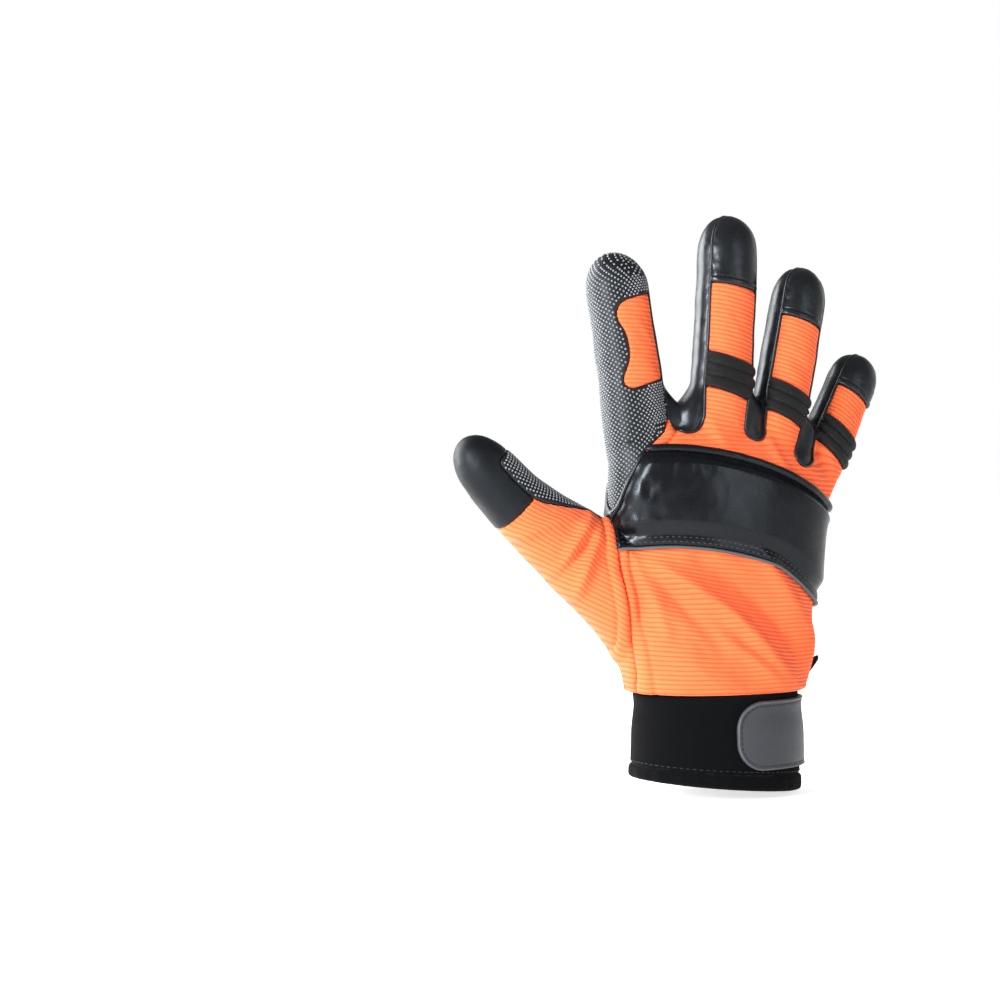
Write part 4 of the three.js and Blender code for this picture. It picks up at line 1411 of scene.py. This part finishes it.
def dots_on(form):
    """Points and triangles of round dots in diagonal rows on a form's outer face."""
    pitch, radius, height, margin, least = DOTS.values()
    places, normals = [], []
    for u, v, holds in flat_maps(form):
        a, b = (u + v) / math.sqrt(2) / pitch, (u - v) / math.sqrt(2) / pitch
        ta, tb = a[form.tris], b[form.tris]
        det = (tb[:, 1] - tb[:, 2]) * (ta[:, 0] - ta[:, 2]) + (ta[:, 2] - ta[:, 1]) * (tb[:, 0] - tb[:, 2])
        det = np.where(np.abs(det) < 1e-9, 1e-9, det)
        for di, dj in ((0, 0), (0, 1), (1, 0), (1, 1)):
            i, j = np.ceil(ta.min(1)) + di, np.ceil(tb.min(1)) + dj
            w0 = ((tb[:, 1] - tb[:, 2]) * (i - ta[:, 2]) + (ta[:, 2] - ta[:, 1]) * (j - tb[:, 2])) / det
            w1 = ((tb[:, 2] - tb[:, 0]) * (i - ta[:, 2]) + (ta[:, 0] - ta[:, 2]) * (j - tb[:, 2])) / det
            w = np.stack([w0, w1, 1 - w0 - w1], 1)
            hit = (w >= 0).all(1) & (holds[form.tris].mean(1) > 0.5)
            share = w[hit][:, :, None]
            corner = form.tris[hit]
            inside = (form["gap"][corner] * share[:, :, 0]).sum(1) > margin
            places.append((form["place"][corner] * share).sum(1)[inside])
            normals.append((form["normal"][corner] * share).sum(1)[inside])
    places, normals = np.vstack(places), np.vstack(normals)
    kept = apart(places, least * pitch) & (np.linalg.norm(normals, axis=1) > 0.1)
    places, normals = places[kept], normals[kept]
    normals /= np.linalg.norm(normals, axis=1, keepdims=True)
    across = np.cross(normals, [0.3, 0.1, 0.95])
    across /= np.linalg.norm(across, axis=1, keepdims=True)
    other = np.cross(normals, across)
    turn = ring_angles(DOT_SIDES)[:, None]
    circle = across[:, None] * np.cos(turn) + other[:, None] * np.sin(turn)
    parts = []
    for share, rise in ((1.0, DOT_FOOT), (DOT_SHOULDER[0], DOT_SHOULDER[1] * height)):
        parts.append(places[:, None] + radius * share * circle + normals[:, None] * rise)
    parts.append((places + normals * height)[:, None])
    points = np.concatenate(parts, 1)
    i = np.arange(DOT_SIDES)
    j = (i + 1) % DOT_SIDES
    top = 2 * DOT_SIDES
    cap = np.stack([DOT_SIDES + i, DOT_SIDES + j, np.full(DOT_SIDES, top)], 1)
    one = np.vstack(ring_walls(DOT_SIDES, DOT_SIDES) + [cap])
    tris = (one[None] + (top + 1) * np.arange(len(places))[:, None, None]).reshape(-1, 3)
    return points.reshape(-1, 3), tris


def add_dots(name, form):
    points, tris = dots_on(form)
    add_piece(name, points, tris, "dots", (), {"gap": np.full(len(points), DOT_GAP)})


def add_lines(name, parts, look, nodes=()):
    points, tris = join(parts)
    add_piece(name, points, tris, look, nodes, {"gap": np.full(len(points), LINE_GAP)})


def seam_pucker(form, size, reach):
    """Small gathers of the leather beside its seams."""
    return size * noise_at(form["place"], 2.6, 1, 80) * bell(form["gap"], reach)


# The skin and its panels
points, tris = base_form()
skin = Form(tris, measure(points))
skin.table["normal"] = vertex_normals(points, tris)
skin.table["relief"] = fold_relief(skin) + joint_relief(skin) + soft_relief(skin)
skin, _ = skin.cut(skin["place"][:, 2] - PALM_BASE)
panels = shape_panels(skin)
for form in list(panels.values()) + [skin]:
    form.table["place"] = form["place"] + form["normal"] * form["relief"][:, None]

# Knit
back = panels["back_panel"]
puff = bulge(np.abs(side_field(back)), *SEAM_PUFF["back"]) * (back["place"][:, 0] < -20)
height = rolled(back["gap"], *ROLL["knit"]) + puff + slack_relief(back)
add_panel("back_knit", back, height, "knit", ["back_panel"], rib_columns(back))

thumb = panels["thumb_panel"]
puff = bulge(np.abs(side_field(thumb)), *SEAM_PUFF["thumb"]) * smooth_step(12, 6, thumb["place"][:, 1])
height = rolled(thumb["gap"], *ROLL["knit"]) + puff + slack_relief(thumb)
add_panel("thumb_knit", thumb, height, "knit", ["thumb_panel"], thumb_rib_columns(thumb))

for name in FINGERS:
    panel = panels[f"{name}_panel"]
    height = rolled(panel["gap"], *ROLL["finger_knit"])
    height += slack_relief(panel) * smooth_step(0, 3, panel["gap"])
    add_panel(f"{name}_knit", panel, height, "knit", [f"{name}_panel"], rib_columns(panel))

# Elastic bands with padded ribs
for name in BANDED:
    band = panels[f"{name}_flex_band"]
    start, end = band_range(name)
    phase = (slanted(band, name, BAND["slant"]) - start) / (end - start) * BAND["ribs"]
    hump = np.sqrt(np.clip(1 - ((phase % 1 - 0.5) / 0.46) ** 2, 0, 1))
    height = RISE["band"] + RISE["rib"] * hump + rolled(band["gap"], *ROLL["band"])
    add_panel(f"{name}_ribbed_band", band, height, "elastic", [f"{name}_flex_band"])

# Leather tips with a turned hem
for name in BANDED:
    cap = panels[f"{name}_tip_cap"]
    edge = slanted(cap, name, CAP_SLANT) - (DIGITS[name]["length"] - PANELS[name]["cap"])
    hem = CAP_HEM["height"] * smooth_step(CAP_HEM["inner"], CAP_HEM["outer"], edge)
    hem -= CAP_HEM["groove"] * bell(edge - CAP_HEM["groove_at"], CAP_HEM["groove_width"])
    height = RISE["cap"] + hem + rolled(cap["gap"], *ROLL["cap"]) + seam_pucker(cap, *PUCKER["cap"])
    add_panel(f"{name}_cap_leather", cap, height, "leather", [f"{name}_tip_cap"])

# The thumb's tip wears the darker copy of the leather, which paints shade on it.
cap = panels["thumb_tip_cap"]
height = RISE["thumb_cap"] + rolled(cap["gap"], *ROLL["thumb_cap"]) + seam_pucker(cap, *PUCKER["thumb_cap"])
add_panel("thumb_cap_leather", cap, height, "cap", ["thumb_tip_cap"])

# Leather straps that run up the flanks of the fingers and round the forks between them
pipings = []
for a, b in FORKS:
    strap = panels[f"{a}_{b}_fork"]
    crown = RISE["crown"] * smooth_step(0, 4.5, strap["gap"])
    height = RISE["strap"] + crown + rolled(strap["gap"], *ROLL["strap"])
    height += seam_pucker(strap, *PUCKER["strap"])
    add_panel(f"{a}_{b}_strap", strap, height, "leather", [f"{a}_{b}_fork"])
    for line in edge_lines(strap):
        if len(line[0]) > 40:
            pipings.append(tube(spaced(line, 0.9, rounds=8), **CORDS["strap"]))
add_lines("strap_edges", pipings, "leather")

# Palm leather and the palm side of the fingers
for name in BANDED:
    front = panels[f"{name}_sleeve"]
    height = rolled(front["gap"], *ROLL["leather"])
    add_panel(f"{name}_front", front, height, "leather", [f"{name}_sleeve"])
    patch = panels[f"{name}_tip_grip"]
    height = RISE["patch"] + rolled(patch["gap"], *ROLL["grip"])
    add_panel(f"{name}_grip_patch", patch, height, "grip", [f"{name}_tip_grip"])
    add_dots(f"{name}_grip_dots", raised(patch, height))
front = panels["index_front"]
add_panel("index_front", front, rolled(front["gap"], *ROLL["index_front"]), "leather")
palm = panels["palm_panel"]
add_panel("palm_leather", palm, rolled(palm["gap"], *ROLL["leather"]), "leather", ["palm_panel"])

for name, node in (("index_grip", "index_sleeve"), ("palm_grip", "palm_grip")):
    grip = panels[name]
    height = RISE["grip"] + rolled(grip["gap"], *ROLL["grip"])
    add_panel(f"{name}_leather", grip, height, "grip", [node])
    add_dots(f"{name}_dots", raised(grip, height))

# Knuckle guard
low, high = guard_heights(skin)
guard, _ = skin.cut(np.minimum(np.minimum(low, high + 0.8), back_field(skin) + 0.9))
guard = with_gap(largest(guard))
low, high = guard_heights(guard)
left = side_field(guard)
swell = smooth_step(*GUARD_SWELL["low"], low) * smooth_step(*GUARD_SWELL["high"], high)
swell *= smooth_step(*GUARD_SWELL["left"], left)
gather = noise_at(guard["place"] * TALL_GRAIN, UNEVEN["small"], 2, 20)
gather = gather * np.exp(-(np.maximum(left, 0) / 14))
height = RISE["guard"] + GUARD["flange"] + GUARD["pad"] * swell
height += GUARD["gather"] * gather * smooth_step(1.5, 5, guard["gap"])
groove = GUARD["groove_depth"] * bell(low - GUARD["groove_at"], GUARD["groove_width"])
height += rolled(guard["gap"], *ROLL["guard"]) - groove
height -= GUARD["calm"] * np.clip(guard["relief"], -1.5, 0.7) * smooth_step(0, 6, guard["gap"])
pad = add_panel("knuckle_pad", guard, height, "guard", ["knuckle_guard"], lining=0.25)
outer = raised(guard, height)
places, normals, _ = contour(outer, left, 0.2)[0]
front = places[:, 1] < 4
side_line = spaced((places[front], normals[front], False), 0.9, rounds=6)
add_lines("guard_side_seam", [tube(side_line, **CORDS["guard_side"])], "guard")
rows = [stitches(contour(outer, low, at)[0], **STITCHES["guard"]) for at in GUARD["stitch_rows"]]
add_lines("guard_stitches", rows, "grey_thread")

on_back, _ = skin.cut(back_field(skin) + 0.5)
low, high = guard_heights(on_back)
line = spaced(contour(on_back, high, GUARD["roll_at"])[0], 1.2, rounds=8)
add_lines("guard_top_roll", [tube(line, **CORDS["guard_roll"])], "guard", ["guard_piping_top"])
line = spaced(contour(on_back, low, GUARD["bound_at"])[0], 1.2, rounds=8)
edge = tube(line, **CORDS["guard_bound"])
add_lines("guard_bound_edge", [edge], "bound", ["guard_piping_bottom"])


# Cuff
def cuff_point(angle, share, grow=0.0):
    low = -CUFF["slant"] / 2 * np.cos(angle)
    waist = -CUFF_CURVE["waist"] * bell(share - CUFF_CURVE["waist_at"], CUFF_CURVE["waist_width"])
    waist += CUFF_CURVE["spread"] * (1 - share) ** 2
    soft = CUFF_CURVE["wave"] * np.sin(3 * angle + 1 + 2 * share) * (1 - share)
    wide = CUFF["half_width"] + grow + waist + soft
    deep = CUFF["half_depth"] + grow + waist + soft
    return np.stack([
        CUFF["centre"] + wide * np.cos(angle),
        deep * np.sin(angle),
        low + (CUFF["height"] - low) * share,
    ], -1)


def cuff_skin(low, high, rows, count):
    a, s = np.meshgrid(ring_angles(count), np.linspace(low, high, rows))
    points = cuff_point(a.ravel(), s.ravel())
    tris = np.vstack(ring_walls(count, (rows - 1) * count))
    table = {"place": points, "turn": a.ravel(), "share": s.ravel(), "normal": vertex_normals(points, tris)}
    return Form(tris, table)


hem_share = CUFF["hem"] / CUFF["height"]
cuff = with_gap(cuff_skin(hem_share, 1.0, 40, 240))
x, y, z = cuff["place"].T
groove = sum(bell(x - at, 0.5) for at in CUFF_SEAMS) * (y > 0)
height = 0.25 * noise_at(cuff["place"], 14, 2) - 0.55 * groove + rolled(cuff["gap"], *ROLL["cuff"])
add_panel("cuff_body", cuff, height, "neoprene", ["cuff"], lining=-CUFF["wall"])
outer_cuff = raised(cuff, height)
_, palm_half = outer_cuff.cut(-outer_cuff["place"][:, 1])
line = contour(palm_half, palm_half["place"][:, 0], CUFF_SEAMS[0] + 0.9)[0]
add_lines("cuff_seam_stitches", [stitches(line, **STITCHES["cuff"])], "pale_thread")

hem = with_gap(refine(cuff_skin(0.0, hem_share, 9, 200)))
ripple = 0.3 * noise_at(hem["place"] * np.array([1, 1, 0.5]), 5, 2, 9)
height = RISE["hem"] + ripple + rolled(hem["gap"], *ROLL["hem"])
add_panel("cuff_hem_fold", hem, height, "neoprene", ["cuff_hem"], lining=-CUFF["wall"])
line = contour(cuff, cuff["share"], hem_share + 0.035)[0]
add_lines("cuff_hem_stitches", [stitches(line, **STITCHES["hem"])], "thread")

# Closing tab
wrap = cuff_skin(0.02, 0.99, 46, 270)
x, y, z = wrap["place"].T
middle = TAB["above"] + TAB["width"] / 2
right_of = (TAB["start"] + TAB["corner"]) - x
beside = np.abs(z - middle) - (TAB["width"] / 2 - TAB["corner"])
field = TAB["corner"] - np.hypot(np.maximum(right_of, 0), np.maximum(beside, 0))
field = np.minimum(field, TAB["width"] / 2 - np.abs(z - middle))
field = np.minimum(np.where(x < 0, np.where(y < 0, field, -9), field), TAB["end_depth"] - y)
tab, _ = wrap.cut(field)
tab = with_gap(refine(largest(tab)))
groove = -0.28 * bell(tab["gap"] - 1.9, 0.4)
height = TAB["rise"] + TAB["thickness"] + groove + rolled(tab["gap"], *ROLL["tab"])
add_panel("wrist_tab_leather", tab, height, "tab", ["wrist_tab"], lining=TAB["rise"])
outer_tab = raised(tab, height)
# The pale cord along the tab's border is a bound edge: its pale colour is partly the binding's own, partly a
# painted highlight on the rolled edge.
rim = spaced(contour(outer_tab, tab["gap"], 0.55)[0], 0.8, rounds=6)
add_lines("wrist_tab_rim_highlight", [tube(rim, **CORDS["tab_rim"])], "bound")
row = stitches(contour(outer_tab, tab["gap"], 1.9)[0], **STITCHES["tab"])
add_lines("wrist_tab_stitches", [row], "thread")

# Binding of the wrist opening, which flares away from the hand at its upper end
side_strip, _ = skin.cut(np.minimum(skin["place"][:, 0] - 10, VENT["top"] - skin["place"][:, 2]))
line = contour(side_strip, side_strip["place"][:, 1], VENT["depth"])[0]
places, normals, _ = spaced(line, 0.8, rounds=6)
if places[0, 2] > places[-1, 2]:
    places, normals = places[::-1], normals[::-1]
share = np.linspace(0, 1, len(places))[:, None]
places = places + normals * (0.9 + VENT["flare"] * share**1.6) + np.array([0, -1.5, 0]) * share**2
binding = tube((places, normals, False), **CORDS["vent"])
add_lines("vent_strip", [binding], "elastic", ["vent_binding"])

# Floor, light and camera
floor_mesh = bpy.data.meshes.new("floor")
reach = 4.0
corners = [(-reach, -reach), (reach, -reach), (reach, reach), (-reach, reach)]
floor_mesh.from_pydata([(x, y, FLOOR_HEIGHT * MM) for x, y in corners], [], [(0, 1, 2, 3)])
pale = new_look("pale_floor", (0.88, 0.88, 0.88), 0.9, 0.1)
shader = pale.node_tree.nodes["Principled BSDF"]
shader.inputs["Emission Color"].default_value = (1, 1, 1, 1)
shader.inputs["Emission Strength"].default_value = FLOOR_GLOW
floor_mesh.materials.append(pale)
floor = new_object("floor", floor_mesh)


def smooth_range(tree, value, limits):
    """A node that goes softly from one strength to another while a value does from low to high."""
    node = tree.nodes.new("ShaderNodeMapRange")
    node.interpolation_type = "SMOOTHSTEP"
    for socket, limit in limits.items():
        node.inputs[socket].default_value = limit
    tree.links.new(value, node.inputs["Value"])
    return node


world = bpy.data.worlds.new("studio")
world.use_nodes = True
sky = world.node_tree
backdrop = sky.nodes["Background"]
backdrop.inputs["Color"].default_value = (1, 1, 1, 1)
direction = sky.nodes.new("ShaderNodeTexCoord")
parts = sky.nodes.new("ShaderNodeSeparateXYZ")
sky.links.new(direction.outputs["Generated"], parts.inputs[0])
limits = {"From Min": -0.55, "From Max": 0.35, "To Min": WORLD["front"], "To Max": WORLD["behind"]}
fade = smooth_range(sky, parts.outputs["Y"], limits)
dome = smooth_range(sky, parts.outputs["Z"], {"From Min": 0.24, "From Max": 0.5, "To Max": WORLD["above"]})
sky.links.new(fade.outputs["Result"], dome.inputs["To Min"])
sky.links.new(dome.outputs["Result"], backdrop.inputs["Strength"])
bpy.context.scene.world = world
bpy.context.scene.view_settings.view_transform = "Standard"

for name, place, size, power in LIGHTS:
    light = new_object(name, bpy.data.lights.new(name, "AREA"))
    light.data.shape = "RECTANGLE"
    light.data.size, light.data.size_y = size
    light.data.energy = power
    light.location = place
    light.rotation_euler = (Vector(LIGHT_AIM) - Vector(place)).to_track_quat("-Z", "Y").to_euler()

azimuth, elevation = (math.radians(angle) for angle in CAMERA["angles"])
right = Vector((math.cos(azimuth), math.sin(azimuth), 0))
level = Vector((math.sin(azimuth), -math.cos(azimuth), 0))
toward = level * math.cos(elevation) + Vector((0, 0, math.sin(elevation)))
centre = Vector((0, 0, CAMERA["height"]))
eye = centre + toward * CAMERA["distance"]
camera = new_object("camera", bpy.data.cameras.new("camera"))
camera.location = eye
camera.rotation_euler = (centre - right * CAMERA["aside"] - eye).to_track_quat("-Z", "Y").to_euler()
camera.data.lens = CAMERA["lens"]
camera.data.sensor_width = 36
camera.data.clip_start = 0.05
bpy.context.scene.camera = camera
